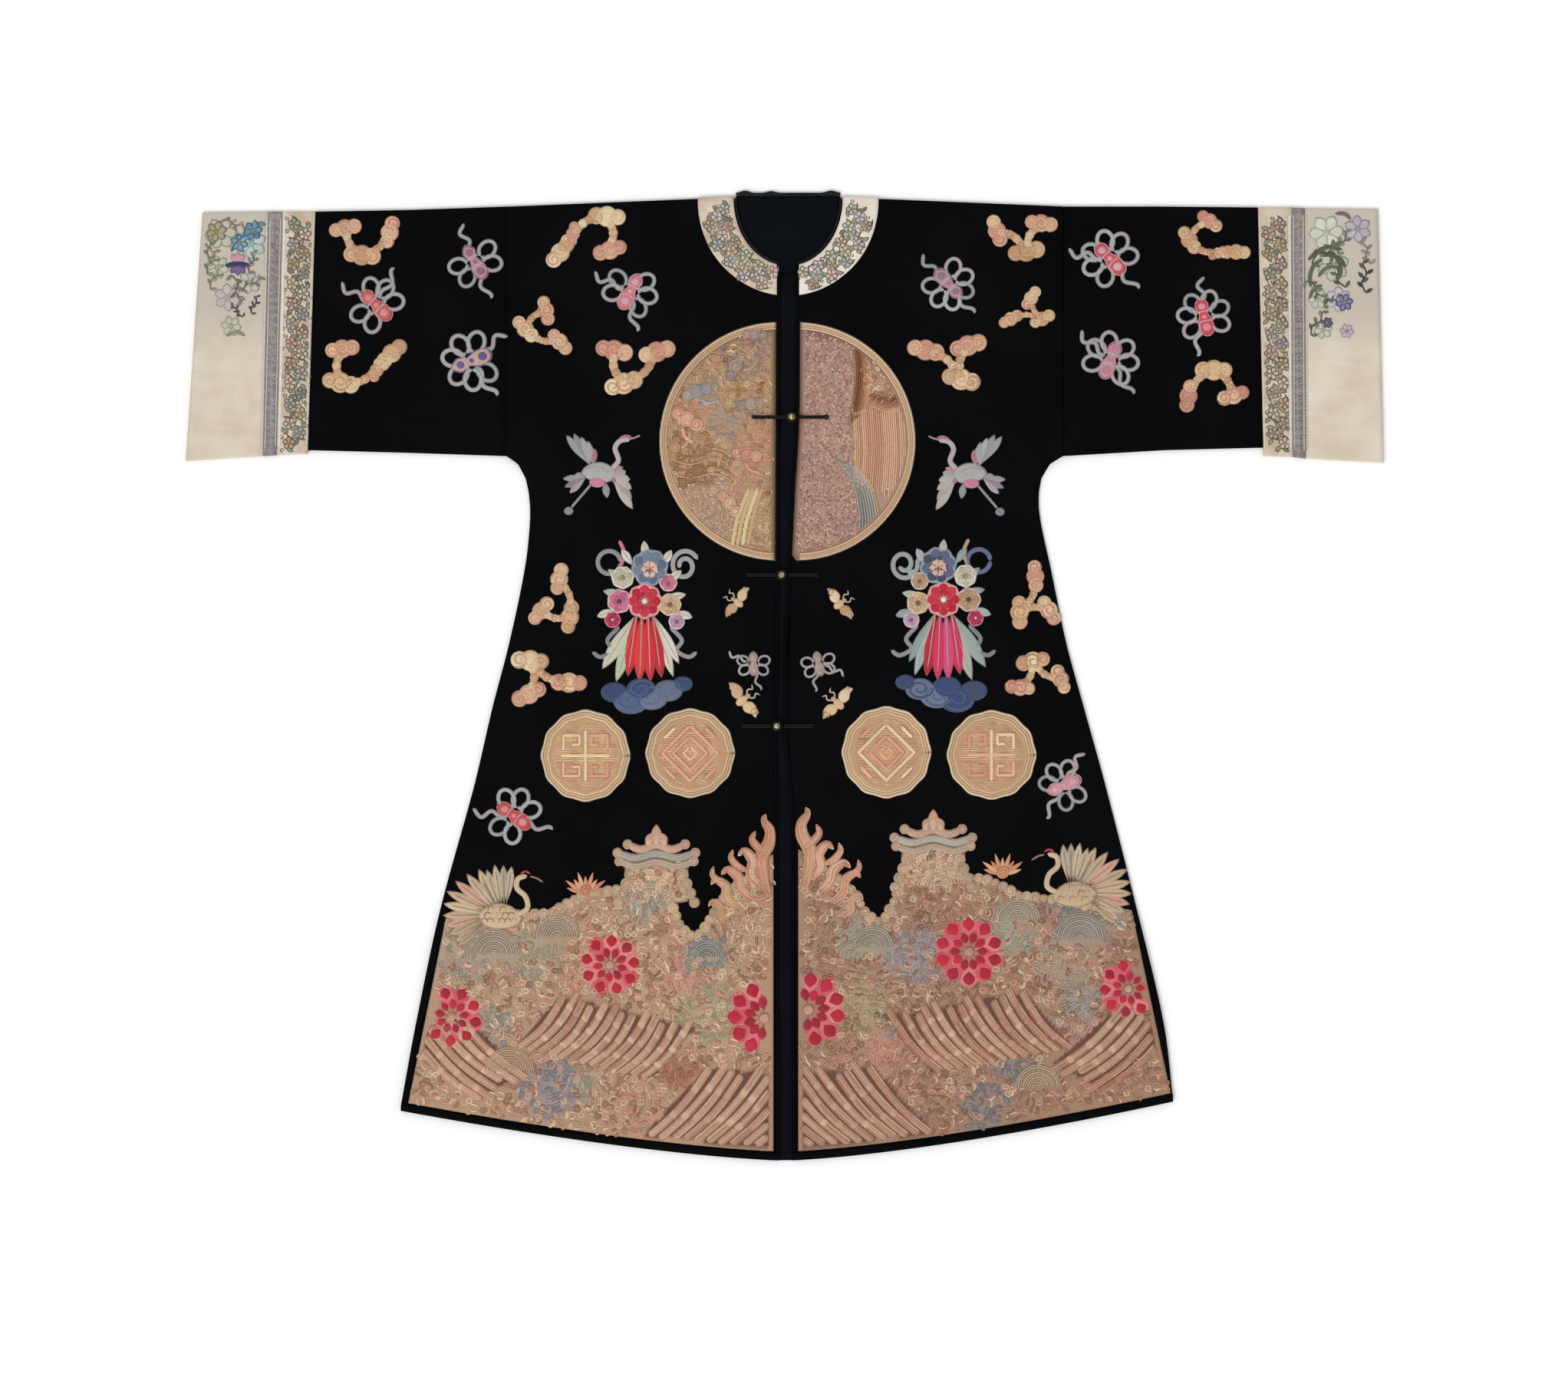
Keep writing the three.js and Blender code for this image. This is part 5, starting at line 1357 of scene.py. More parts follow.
# Places where the water turns greyer, greener or redder.
PATCHES = rows(
    "x y reach tones",
    (-280, -488, 36, ("#988c90", "#a59a98", "#8f8890")),
    (-167, -266, 26, ("#a8a69a", "#b8b2a4", "#9c9c92")),
    (-92, -331, 28, ("#98988f", "#a8a49a", "#8b8f90")),
    (-376, -326, 38, ("#ada18e", "#a39a88", "#b8a894")),
    (-300, -330, 34, ("#a89e88", "#b0a48c", "#b8a48a")),
    (-117, -352, 26, ("#cf9684", "#d8a294", "#c58f80")),
    (-96, -396, 40, ("#b3a484", "#bfab8a", "#a89c80")),
    (-120, -469, 24, ("#a87058", "#bd8068", "#b08a70")),
    (-240, -485, 22, ("#b0a58a", "#c98c7c", "#a09a84")),
    (-345, -415, 26, ("#a59e90", "#b0a494", "#989288")),
    (-160, -530, 30, ("#c2907a", "#b0a084", "#bc9a80")),
    (92, -311, 30, ("#a6a28e", "#b0a892", "#9b9a8a")), (267, -300, 30, ("#aaa490", "#b4aa96", "#a29a8a")),
    (151, -331, 34, ("#a39898", "#b0a4a0", "#989092")), (92, -391, 34, ("#b3a27c", "#bfa984", "#aa9876")),
    (274, -458, 28, ("#8a8282", "#968e8c", "#807c7e")),
    (236, -512, 28, ("#8a8282", "#968e8c", "#807c7e")),
    (340, -264, 28, ("#908684", "#9c9290", "#868084")),
    (122, -416, 16, ("#908684", "#9c9290", "#868084")),
    (349, -391, 26, ("#a89c92", "#b3a69a", "#9c948e")),
    (372, -288, 30, ("#a39a90", "#afa498", "#98928c")),
    (383, -430, 24, ("#cf9080", "#c9a08c", "#a89c84")),
    (120, -446, 24, ("#cf9280", "#d29d88", "#bf907c")),
    (330, -336, 34, ("#b59c86", "#b0a08c", "#bfa68e")),
)
# Bars of standing water: the corner where each group starts, how far it runs, and how its bars lie.
STRIPES = rows(
    "side x y run drop turn length",
    ("left", -322, -440, 168, -40, 50, 84), ("left", -182, -556, 176, -12, 47, 128),
    ("left", -446, -430, 62, 36, -43, 112), ("right", 346, -442, -176, -30, 130, 92),
    ("right", 192, -550, -172, -14, 134, 124), ("right", 462, -420, -66, 34, 222, 112),
)
BAR = {"pitch": 11.2, "width": 10.2}
BAR_THREADS = {
    "left": ("#d3a890", "#d8b094", "#c79a82", "#d0a48a", "#bd8e76", "#d9b598"),
    "right": ("#c99c84", "#cfa68c", "#bd8e78", "#c49880", "#b08068", "#d0a88e"),
}
FLOWERS = rows(
    "side x y radius petals",
    ("left", -207, -343, 37, 9), ("left", -394, -404, 37, 9), ("left", -24, -406, 46, 11),
    ("right", 28, -396, 46, 11), ("right", 218, -327, 42, 10), ("right", 407, -371, 36, 9),
)
DOMES = rows(
    "side x y radius tones",
    ("left", -326, -470, 29, ("#bb9c80", "#c6a88c")), ("left", -270, -310, 27, ("#b5a08a", "#bfa992")),
    ("left", -345, -330, 30, ("#b3a08e", "#bdaa98")), ("left", -92, -334, 20, ("#98958f", "#a6a29a")),
    ("right", 276, -290, 26, ("#b3a48e", "#bfae98")), ("right", 350, -312, 30, ("#a89e94", "#b3a89c")),
    ("right", 104, -322, 24, ("#a8a290", "#b3ac9a")), ("right", 300, -488, 26, ("#b59c80", "#c0a68c")),
)
waterline = {side: smooth_curve(WATERLINE, "out", side) for side in SIGN}


def border_edges(side, x):
    """Y of the foot and of the waterline of a border at a place."""
    foot = hem_y(side, x) + HEM_BINDING + 2
    return foot, waterline[side](np.abs(x - BORDER[side]["inner"]))


def in_border(side, x, y, inset=0.0):
    """Whether places lie inside a border, clear of its edges."""
    foot, top = border_edges(side, x)
    low, high = (abs(BORDER[side][key]) for key in ("low", "high"))
    share = np.clip((y - foot) / (top - foot), 0, 1)
    outer = low + (high - low) * share - inset
    inner = SIGN[side] * BORDER[side]["inner"] + inset
    out = SIGN[side] * x
    return (out > inner) & (out < outer) & (y > foot + inset) & (y < top - inset)


def bar_zone(row, x, y, inset=0.0):
    """Whether a place lies in a group of bars."""
    turn = math.radians(row["turn"])
    ux, uy = math.cos(turn), math.sin(turn)
    det = row["run"] * uy - row["drop"] * ux
    dx, dy = x - row["x"], y - row["y"]
    across = (dx * uy - dy * ux) / det
    along = (row["run"] * dy - row["drop"] * dx) / det
    margin = inset / abs(det)
    return (across > margin) & (across < 1 - margin) & (along > inset) & (along < row["length"] - inset)


def dome(work, side, x, y, radius, tones):
    """A rolling wave: half rings of laid thread, one inside the other."""
    for k, reach in enumerate(np.arange(radius, 3, -2.8)):
        path = ring_path(x, y, reach, 1.0, max(10, int(reach * 2)))
        seen = in_border(side, path[:, 0], path[:, 1], 1) & (path[:, 1] > y - 3)
        for run in keep_runs(path, seen):
            work.line(run, 3.0, tones[k % 2], 0.7, 1.0, ends=0.2, fine=True)


def scroll_edge(work, path, radius, tones, rise=0.5):
    """A row of small coils along a path, as foam along a wave."""
    along = distance_along(path)
    for k, at in enumerate(np.arange(radius, along[-1], radius * 1.6)):
        px, py = np.interp(at, along, path[:, 0]), np.interp(at, along, path[:, 1])
        size = radius * (1 + 0.2 * math.sin(2.1 * k))
        disc(work, px, py, size, tones, rise, k, 1 if k % 2 else -1, thread=2.3)


def flame(work, side, tones):
    """The flames beside the front edge: curling tongues, widest in the middle, each with paler threads."""
    inner, sign = BORDER[side]["inner"], SIGN[side]
    for tongue in FLAMES:
        places = turned(curve_through(*tongue["path"]), inner, 8 if side == "right" else 0, 0, 1.0, sign)
        t = np.linspace(0, 1, len(places))
        width = tongue["width"] * (0.25 + np.sin(math.pi * np.clip(t * 0.85 + 0.12, 0, 1)) ** 0.8 * 0.8)
        work.line(places, width, pick(tones), 0.9, 0.7, ends=1.0)
        across = np.gradient(places, axis=0)
        across = np.stack([-across[:, 1], across[:, 0]], axis=1) / np.linalg.norm(across, axis=1)[:, None]
        for lane in (-0.28, 0.0, 0.28):
            thread = places + lane * width[:, None] * across
            work.line(thread[1:-1], 2.2, pick(tones), 0.5, 1.45, fine=True)


def rock(work, x, y, sign):
    """A tall sea rock: a dome of nested arches, a brim of cloud scrolls over it and three points on top."""
    body = curve_through((-36, -16), (36, -16), (37, 6), (31, 32), (-31, 32), (-37, 6), closed=True)
    work.shape(turned(body, x, y), "#cbaa8a", 0.8, 0.3)
    for px, py in lattice((-30, 32), (-8, 32), 9.6, 2.0):
        filler(work, x + px, y + py, 4.6, px / 20, WATER_TONES, 3.0, 1.0)
    for k in range(7):
        reach = 22 - 3.1 * k
        arch = turned(ring_path(0, 0, reach, 1.15, 40)[:21], x + 8 * sign, y - 14)
        tones = ("#c2a88c", "#b59c82", "#cbb096") if k % 3 else ("#a8a094", "#b0a89a", "#9c9890")
        work.line(arch, 3.3, pick(tones), 0.8, 0.8 + 0.04 * k, fine=True)
    tones = ("#bfa68a", "#c9a88c", "#b59a80")
    for hand in (-1, 1):
        for k in range(4):
            disc(work, x + hand * (30 + 5 * k), y + 16 - 11 * k, 8.5 - 0.6 * k, tones, 0.7, k, hand)
    for k, (dy, half, tone) in enumerate(((28, 44, "#b8a08c"), (38, 46, "#a9a59a"), (48, 34, "#c49c88"))):
        brim = curve_through((-half, 4), (-half * 0.55, -2), (0, 3), (half * 0.55, -2), (half, 4))
        work.line(turned(brim, x, y + dy), 10, tone, 0.9, 1.0 + 0.1 * k, ends=1.0)
        work.line(turned(brim, x, y + dy + 2), 2.2, "#d0b89c", 0.4, 1.9, fine=True)
        for hand in (-1, 1):
            disc(work, x + hand * half, y + dy + 4, 6.2, ("#c9ab90", "#bfa090"), 1.1, 1.2 * hand, hand)
    for k in range(3):
        turn = math.radians(90 + 32 * (k - 1))
        for share, tone in ((1.0, "#c79a84"), (0.62, "#d3ae94")):
            length = (26 if k == 1 else 19) * share
            leaf = leaf_outline(x + 12 * (k - 1), y + 50, length, 13 * share, turn, 12)
            work.shape(leaf, tone, 0.8, 1.1 + 0.5 * (share < 1), turn)


def coral(work, x, y, tones):
    """A fan of short coral branches on a small coil."""
    for k in range(9):
        turn = math.radians(18 + 18 * k)
        leaf = leaf_outline(x + 3 * math.cos(turn), y, 27 if k % 2 else 21, 5.2, turn, 12)
        work.shape(leaf, pick(tones), 0.8, 0.6, turn)
    disc(work, x, y + 3, 8, tones, 1.0)


def standing_crane(work, x, y, sign):
    """A crane on the waves with both wings raised, seen from the side."""

    def at(*places):
        return turned(places, x, y, 0, 1.0, sign)

    def feathers(root, count, start, step, length, width, tones, rise):
        for k in range(count):
            turn = math.radians(start + step * k)
            turn = turn if sign > 0 else math.pi - turn
            base = at((root[0] + 2.4 * k, root[1] - 1.5 * k))[0]
            reach = length * (1 - 0.05 * abs(k - count / 3))
            leaf = leaf_outline(*base, reach, width, turn, 16, 0.62)
            work.shape(leaf, tones[k % len(tones)], 0.9, rise + 0.06 * k, turn)
            tip = spoke(*base, 0.84 * reach, turn)
            work.line(np.linspace(base, tip, 8), 1.4, "#a58f78", 0.3, rise + 0.85 + 0.06 * k, fine=True)

    feathers((-8, 10), 6, 98, -9, 52, 11, ("#c0ad96", "#b5a690", "#c9b498"), 0.5)
    feathers((2, 6), 8, 64, -13, 60, 12, ("#cdb392", "#c4a98a", "#cf9f8c", "#bfa688"), 0.7)
    feathers((12, -8), 4, -14, -9, 44, 10, ("#c9ad8a", "#b89c80"), 0.6)
    body = curve_through((-28, -6), (-14, 9), (8, 12), (28, -2), (12, -17), (-14, -17), closed=True)
    work.shape(at(*body)[::sign], "#cdb292", 1.1, 1.3, turn=0.4)
    for row in range(3):
        for k in range(6 - row):
            cx, cy = at((-17 + 7 * k + 3 * row, -9 + 7 * row))[0]
            work.line(ring_path(cx, cy, 3.4, 1.0, 16)[:10], 1.7, pick(GOLD), 0.4, 2.4, fine=True)
    neck = curve_through((-20, -2), (-33, 6), (-31, 20), (-21, 30), (-22, 41), (-33, 45))
    work.line(at(*neck), 7.0, "#cdb494", 1.0, 1.4, ends=1.0)
    work.line(at(*curve_through((-25, 47), (-31, 50), (-37, 47))), 3.0, "#b84a5a", 0.6, 2.3, fine=True)
    work.line(at(*curve_through((-36, 44), (-44, 42), (-52, 37))), 2.6, "#9c8070", 0.7, 1.4, fine=True)


def sea_flower(work, side, x, y, radius, petals):
    """An open flower on the water: broad pink petals that overlap, each with a dark red heart."""
    start = 0.013 * x
    for row, (share, broad) in enumerate(((1.0, 5.4), (0.56, 4.6))):
        for k in range(petals):
            turn = start + 2 * math.pi * (k + 0.5 * row) / petals
            reach = radius * share
            place = spoke(x, y, 0.18 * reach, turn)
            length = (0.84 + 0.06 * (k % 2)) * reach
            outline = leaf_outline(*place, length, broad * reach / petals, turn, 14, 0.72)
            if np.any(~in_border(side, outline[:, 0], outline[:, 1], -1.5)):
                continue
            work.shape(outline, pick(SEA_PINKS), 0.7, 0.5 + 0.45 * row, turn)
            base = turned([((0.56 if row == 0 else 0.4) * reach, 0)], x, y, turn)[0]
            length, width = (0.4 * reach, 0.34 * reach) if row == 0 else (0.58 * reach, 0.4 * reach)
            heart = leaf_outline(*base, length, width, turn, 12, 0.55)
            work.shape(heart, pick(SEA_REDS), 0.8, 1.1 + 0.4 * row, turn)
    if in_border(side, x, y, 4):
        disc(work, x, y, 0.13 * radius, ("#d8a890", "#d09484"), 2.0, thread=2.0)


SEA_PINKS = ("#e0626c", "#d8505e", "#e37a7c")
SEA_REDS = ("#b0102c", "#bd1a34", "#a00f28")
FLAMES = rows(
    "path width",
    (((6, -262), (12, -240), (14, -216), (5, -198), (4, -184), (11, -172), (9, -164)), 17),
    (((14, -250), (26, -236), (24, -220), (34, -208), (42, -214)), 14),
    (((22, -268), (38, -252), (42, -238), (54, -230), (62, -236)), 14),
    (((38, -278), (54, -264), (56, -250), (68, -242), (74, -248)), 13),
    (((50, -294), (62, -286), (63, -274), (72, -268), (77, -274)), 11),
    (((6, -214), (18, -204), (25, -194), (21, -184)), 10),
    (((30, -232), (42, -226), (50, -216), (48, -206)), 9),
    (((54, -250), (64, -244), (72, -236), (71, -226)), 8),
)
BORDER_CREST = {
    "left": {"rock": (-152, -252), "coral": (-236, -258), "crane": (-338, -282)},
    "right": {"rock": (176, -234), "coral": (258, -236), "crane": (344, -256)},
}
for side, sign in SIGN.items():
    share, across = np.meshgrid(np.linspace(0, 1, 56), np.linspace(0, 1, 124), indexing="ij")
    low = BORDER[side]["inner"] + (BORDER[side]["low"] - BORDER[side]["inner"]) * across
    high = BORDER[side]["inner"] + (BORDER[side]["high"] - BORDER[side]["inner"]) * across
    x = low + (high - low) * share
    foot, top = hem_y(side, low) + HEM_BINDING + 2, waterline[side](np.abs(high - BORDER[side]["inner"]))
    y = foot + (top - foot) * share
    colour = np.tile(np.array(linear("#b39074" if side == "left" else "#a5826a")), (*x.shape, 1))
    for row in PATCHES:
        away = (x - row["x"]) ** 2 + (y - row["y"]) ** 2
        weight = 0.85 * np.exp(-(away / row["reach"] ** 2))[..., None]
        colour = colour * (1 - weight) + np.array(linear(row["tones"][0])) * weight
    for row in of_side(side, STRIPES):
        colour[bar_zone(row, x, y, 3) & in_border(side, x, y, 5)] = linear("#6a4838")
    heights = (CLOTH + GAP, CLOTH + GAP + 0.7)
    ground = laid_wall(f"sea_border_ground_{side}", x, y, *heights, gold_thread, colour)
    finish_piece(ground, "couching", f"sea_border_{side}")

    water, flowers = Stitching(base=GAP), Stitching(base=GAP)
    for row in of_side(side, STRIPES):
        turn = math.radians(row["turn"])
        ahead = np.array([math.cos(turn), math.sin(turn)])
        across = np.array([-math.sin(turn), math.cos(turn)])
        slant = abs(row["run"] * math.sin(turn) - row["drop"] * math.cos(turn))
        for k in range(int(slant / BAR["pitch"])):
            step = (k + 0.5) * BAR["pitch"] / slant
            t = np.linspace(0, 1, 30)[:, None]
            start = np.array([row["x"] + row["run"] * step, row["y"] + row["drop"] * step])
            reach = row["length"] * (1 + 0.08 * math.sin(1.7 * k))
            path = start + t * reach * ahead + 7 * np.sin(math.pi * t) * across * sign
            for run in keep_runs(path, in_border(side, path[:, 0], path[:, 1], 3)):
                water.line(run, BAR["width"], pick(BAR_THREADS[side]), 0.6, 0.65, ends=0.3)
                for lane in (-1, 0, 1):
                    thread = run + lane * 0.3 * BAR["width"] * across
                    for piece in np.array_split(thread, max(1, len(thread) // 7)):
                        if len(piece) > 2:
                            water.line(piece, 2.5, pick(BAR_THREADS[side]), 0.45, 1.15, ends=0.2, fine=True)
    reach = abs(BORDER[side]["low"])
    x_range = (-reach, -14) if side == "left" else (16, reach)
    for x, y in lattice(x_range, (-566, -170), 10.0, 2.2):
        clear = all(
            math.hypot(x - row["x"], y - row["y"]) > 0.86 * row["radius"]
            or ("tones" in row and y < row["y"] - 6)
            for row in of_side(side, FLOWERS, DOMES)
        )
        barred = any(bar_zone(row, x, y) for row in of_side(side, STRIPES))
        room = next((size for size in (5.0, 3.4) if in_border(side, x, y, size)), 0)
        if room and clear and not barred:
            flow = 1.2 * math.sin(x / 41) + 1.4 * math.cos(y / 37)
            tones = WATER_TONES if side == "left" else WATER_TONES[3:] + RIGHT_TONES
            filler(water, x, y, room, flow, nearby(PATCHES, x, y, tones, 0.62), 3.0, 0.65)
    for row in of_side(side, DOMES):
        dome(water, **row)
    line_x = np.linspace(BORDER[side]["inner"] + 8 * sign, BORDER[side]["high"] - 6 * sign, 90)
    crest = np.stack([line_x, waterline[side](np.abs(line_x - BORDER[side]["inner"])) - 4], axis=1)
    scroll_edge(water, crest, 6.4, ("#cdb392", "#c4a586", "#d0b496", "#c0a088"))
    places = BORDER_CREST[side]
    rock(water, *places["rock"], sign)
    coral(water, *places["coral"], ("#cf9470", "#d8a685", "#c98a6c"))
    standing_crane(water, *places["crane"], sign)
    flame(water, side, ("#e0a98e", "#cf9478", "#d8a488", "#d0a880", "#e3b49a"))
    for row in of_side(side, FLOWERS):
        sea_flower(flowers, **row)
    finish_piece(water.make(f"sea_border_couching_{side}", gold_thread), "couching")
    finish_piece(flowers.make(f"sea_border_flowers_{side}", floss_silk), "band_silk")

# The bindings.
# Narrow folded strips of the black satin cover the front edges, the hem and the left vent. They are sewn
# down by hand with short black stitches.
VENT_BINDING = {"width": 7, "top": -318}


def binding(name, x, y, node):
    """A narrow strip on the cloth, rounded across its width. Its grid runs along and then across."""
    across = np.linspace(-1, 1, x.shape[1])
    pillow = 0.75 + 0.35 * np.sqrt(np.clip(1 - across**2, 0, 1))
    strip = laid_wall(name, x, y, CLOTH + GAP, CLOTH + GAP + pillow, satin)
    return finish_piece(strip, "satin", node)


for side, sign in SIGN.items():
    low, high = hem_y(side, 10) + HEM_BINDING + 2 * GAP, SHOULDER - NECK["down"] - 1.5
    level, share = np.meshgrid(np.linspace(low, high, 240), np.linspace(0, 1, 5), indexing="ij")
    x = opening_x[side](level) + sign * EDGE_BINDING * share
    strip = binding(f"edge_binding_silk_{side}", x, level, f"edge_binding_{side}")
    start, end = float(opening_x[side](HEM)), sign * (float(side_x[side](HEM)) - 1)
    x, share = np.meshgrid(np.linspace(start, end, 140), np.linspace(0, 1, 6), indexing="ij")
    y = hem_y(side, x) + HEM_BINDING * share + 0.4
    strip = binding(f"hem_binding_silk_{side}", x, y, f"hem_binding_{side}")
low = float(hem_y("left", side_x["left"](HEM))) + HEM_BINDING + 2.5
level, share = np.meshgrid(np.linspace(low, VENT_BINDING["top"], 60), np.linspace(0, 1, 6), indexing="ij")
x = -(side_x["left"](level) - 0.8 - VENT_BINDING["width"] * share)
strip = binding("vent_binding_silk_left", x, level, "vent_binding_left")

# The collar band and the work on the bands and cuffs.
# A band of cream silk lies round the neck. It and the sleeve bands are worked with small flowers and
# leaves in brown and grey outlines and pale floss. The cuffs have larger sprays in their upper half.
COLLAR = {"across": 107, "down": 117}
PALE = ("#b0a3a4", "#b8968e", "#9aa08e", "#bd9a80", "#9c9ba4", "#a89a7c", "#bb9a98", "#a87868", "#7f8c86")
QUIET = ("#c4b49c", "#b8a48c", "#ab9a86", "#c9b8a4")
BLUSH = ("#cfbab8", "#c8bccb", "#bcc2b4", "#d6b8a4", "#bfc0cd", "#c9bba4", "#d6b6b4", "#bd938b", "#a9b5b2")
GREENS = ("#8f927a", "#a3987e", "#757860", "#968c74")
OUTLINE = ("#564a3c", "#665746", "#504b42", "#716150", "#5c5a4e")
DARK_RIBBON = ("#5a5456", "#8a8286", "#6f686a")
PALE_RIBBON = ("#7d7678", "#b3aaa6", "#928a8a", "#c0b8b0")
BAND_TOP = 544
BAND_SLANT = {"out": 6.5, "top": 546, "length": 270}
COLLAR_END = 470


def collar_place(side, angle, share):
    """X and Y on the collar band, by the turn from the front edge to the shoulder and the share across."""
    across = NECK["across"] + 0.6 + (COLLAR["across"] - NECK["across"] - 0.6) * share
    down = NECK["down"] + 0.6 + (COLLAR["down"] - NECK["down"] - 0.6) * share - FOLD_RADIUS
    x = MIDDLE + SIGN[side] * across * np.sin(angle)
    return x, shoulder_y(x) - FOLD_RADIUS - down * np.cos(angle)


def edged_leaf(work, x, y, length, width, turn, fill, outline, belly=0.5, edge=0.9, rise=0.0):
    """A leaf or petal with an outline stitched round it."""
    work.shape(leaf_outline(x, y, length, width, turn, 7, belly), outline, 0.3, rise, turn)
    base = turned([(0.8 * edge, 0)], x, y, turn)[0]
    inner = leaf_outline(*base, length - 1.8 * edge, width - 1.5 * edge, turn, 7, belly)
    work.shape(inner, fill, 0.35, rise + 0.15, turn)


def blossom(work, x, y, radius, petals, fill, outline, turn, edge=0.9, rise=0.0, heart="#a07c48"):
    """An open flower of edged petals."""
    for k in range(petals):
        lean = turn + 2 * math.pi * k / petals
        edged_leaf(work, x, y, radius, 4.1 * radius / petals, lean, fill, outline, 0.62, edge, rise)
    work.shape(ring_path(x, y, radius * 0.22, 1, 8)[:-1], heart, 0.5, rise + 0.3)


def trail(work, x, y, turn, size, tones, inside):
    """One unit of a running flower trail: a flower, some leaves and curling stems, all inside the band."""
    stem = turned([(-9, -5), (-3, 3), (4, -3), (9, 3)], x, y, turn, size)
    work.line(curve_through(*stem, step=1.8), 2.0, pick(OUTLINE), 0.3, fine=True)
    for place, lean in ((stem[0], 1.1), (stem[2], -0.9), (stem[1], 2.2), (stem[3], 0.5)):
        if inside(*turned([(8.5 * size, 0)], *place, turn + lean)[0]):
            dyes = pick(GREENS), pick(OUTLINE)
            edged_leaf(work, *place, 9 * size, 4.8 * size, turn + lean, *dyes, edge=1.1)
    blossom(work, x, y, 7.2 * size, 5, pick(tones), pick(OUTLINE), turn, 1.1)
    for k in range(3):
        px, py = turned([(-8 + 7 * k, 7 - 13 * (k % 2))], x, y, turn, size)[0]
        if inside(px, py):
            work.line(coil(px, py, 2.6 * size, 1.1, k, 1, 0.2, 1, 1.4), 1.5, pick(OUTLINE), 0.3, fine=True)


def band_slant(y):
    """How far a sleeve band leans out at a level."""
    return BAND_SLANT["out"] * (BAND_SLANT["top"] - y) / BAND_SLANT["length"]


for side, sign in SIGN.items():
    edge = float(opening_x[side](COLLAR_END)) + sign * (EDGE_BINDING + GAP)
    share = np.linspace(0, 1, 9)[None, :]
    across = NECK["across"] + 0.6 + (COLLAR["across"] - NECK["across"] - 0.6) * share
    start = np.arcsin(abs(edge - MIDDLE) / across)
    flat = np.linspace(0, 1, 64)[:, None]
    x, y = collar_place(side, start + (math.pi / 2 - start) * flat, share)
    past = np.linspace(0, FOLD_RADIUS * math.pi / 2, 6)[1:, None]
    x = np.vstack([x, np.repeat(x[-1:], 5, axis=0)])
    y = np.vstack([y, y[-1:] + past])
    soft = 0.85 + 0.25 * np.sqrt(np.sin(math.pi * np.clip(share, 0.02, 0.98)))
    silk = band_silk if side == "left" else pale_band_silk
    collar = laid_wall(f"collar_cloth_{side}", x, y, CLOTH + GAP, CLOTH + GAP + soft, silk)
    finish_piece(collar, "band_silk", f"collar_{side}")

    def on_collar(x, y):
        dx, dy = x - MIDDLE, SHOULDER - 3 - y
        inner = math.hypot(dx / (NECK["across"] + 3), dy / (NECK["down"] + 3))
        outer = math.hypot(dx / (COLLAR["across"] - 3), dy / (COLLAR["down"] - 3))
        return outer < 1 < inner and sign * (x - edge) > 2 and y < shoulder_y(x) - FOLD_RADIUS

    work = Stitching(base=GAP + 1.0)
    for k, angle in enumerate(np.arange(0.24, 1.46, 0.08)):
        x, y = collar_place(side, angle, (0.28, 0.76, 0.52)[k % 3])
        tones = QUIET if k % 4 == 1 else BLUSH
        trail(work, float(x), float(y), sign * (angle - 0.2) + 0.6 * (-1) ** k, 1.1, tones, on_collar)
    finish_piece(work.make(f"collar_flowers_{side}", floss_silk), "band_silk")

    work = Stitching()
    band, ribbon, cuff = (CUFF_LINES[side][k] for k in range(3))

    def band_middle(y):
        return (band[0] + ribbon[0]) / 2 + band_slant(y) - 0.8

    def on_band(x, y):
        return abs(sign * x - band_middle(y)) < (ribbon[0] - band[0]) / 2 - 3 and y < BAND_TOP

    for k, y in enumerate(np.arange(BAND_TOP - 9, 272, -11.8)):
        tones = PALE if RANDOM.random() < (0.8 if side == "right" and y > 470 else 0.5) else QUIET
        place = (sign * (band_middle(y) + 6.4 * (-1) ** k), y)
        trail(work, *place, math.pi / 2 * (-1) ** k + 0.5 * math.sin(k), 1.15, tones, on_band)
    for line, inset, width, tone in (
        (ribbon, -2.6, 3.6, "#ddd7cb"), (ribbon, 2.0, 1.6, "#c4bcb2"), (cuff, -2.0, 1.6, "#cdc4b8"),
        (band, 2.2, 1.8, "#d6ccba"), (cuff, 1.8, 2.0, "#d3c8b6"),
    ):
        t = np.linspace(0.03, 0.975, 90)
        x = sign * (line[2] + (line[0] - line[2]) * t + inset)
        work.line(np.stack([x, line[3] + (line[1] - line[3]) * t], axis=1), width, tone, 0.5)
    for y in np.arange(268, BAND_TOP, 4.2):
        middle = (ribbon[0] + cuff[0]) / 2 + band_slant(y)
        dark = side == "right" and y < 435
        for lane in (-1, 1):
            tone = pick(DARK_RIBBON if dark else PALE_RIBBON)
            ends = [(sign * (middle + 3 * lane + 2 * hand), y + 1.4 * hand) for hand in (-1, 1)]
            work.line(straight_path(ends), 1.7, tone, 0.35, fine=True)
    finish_piece(work.make(f"sleeve_band_flowers_{side}", floss_silk), "band_silk")

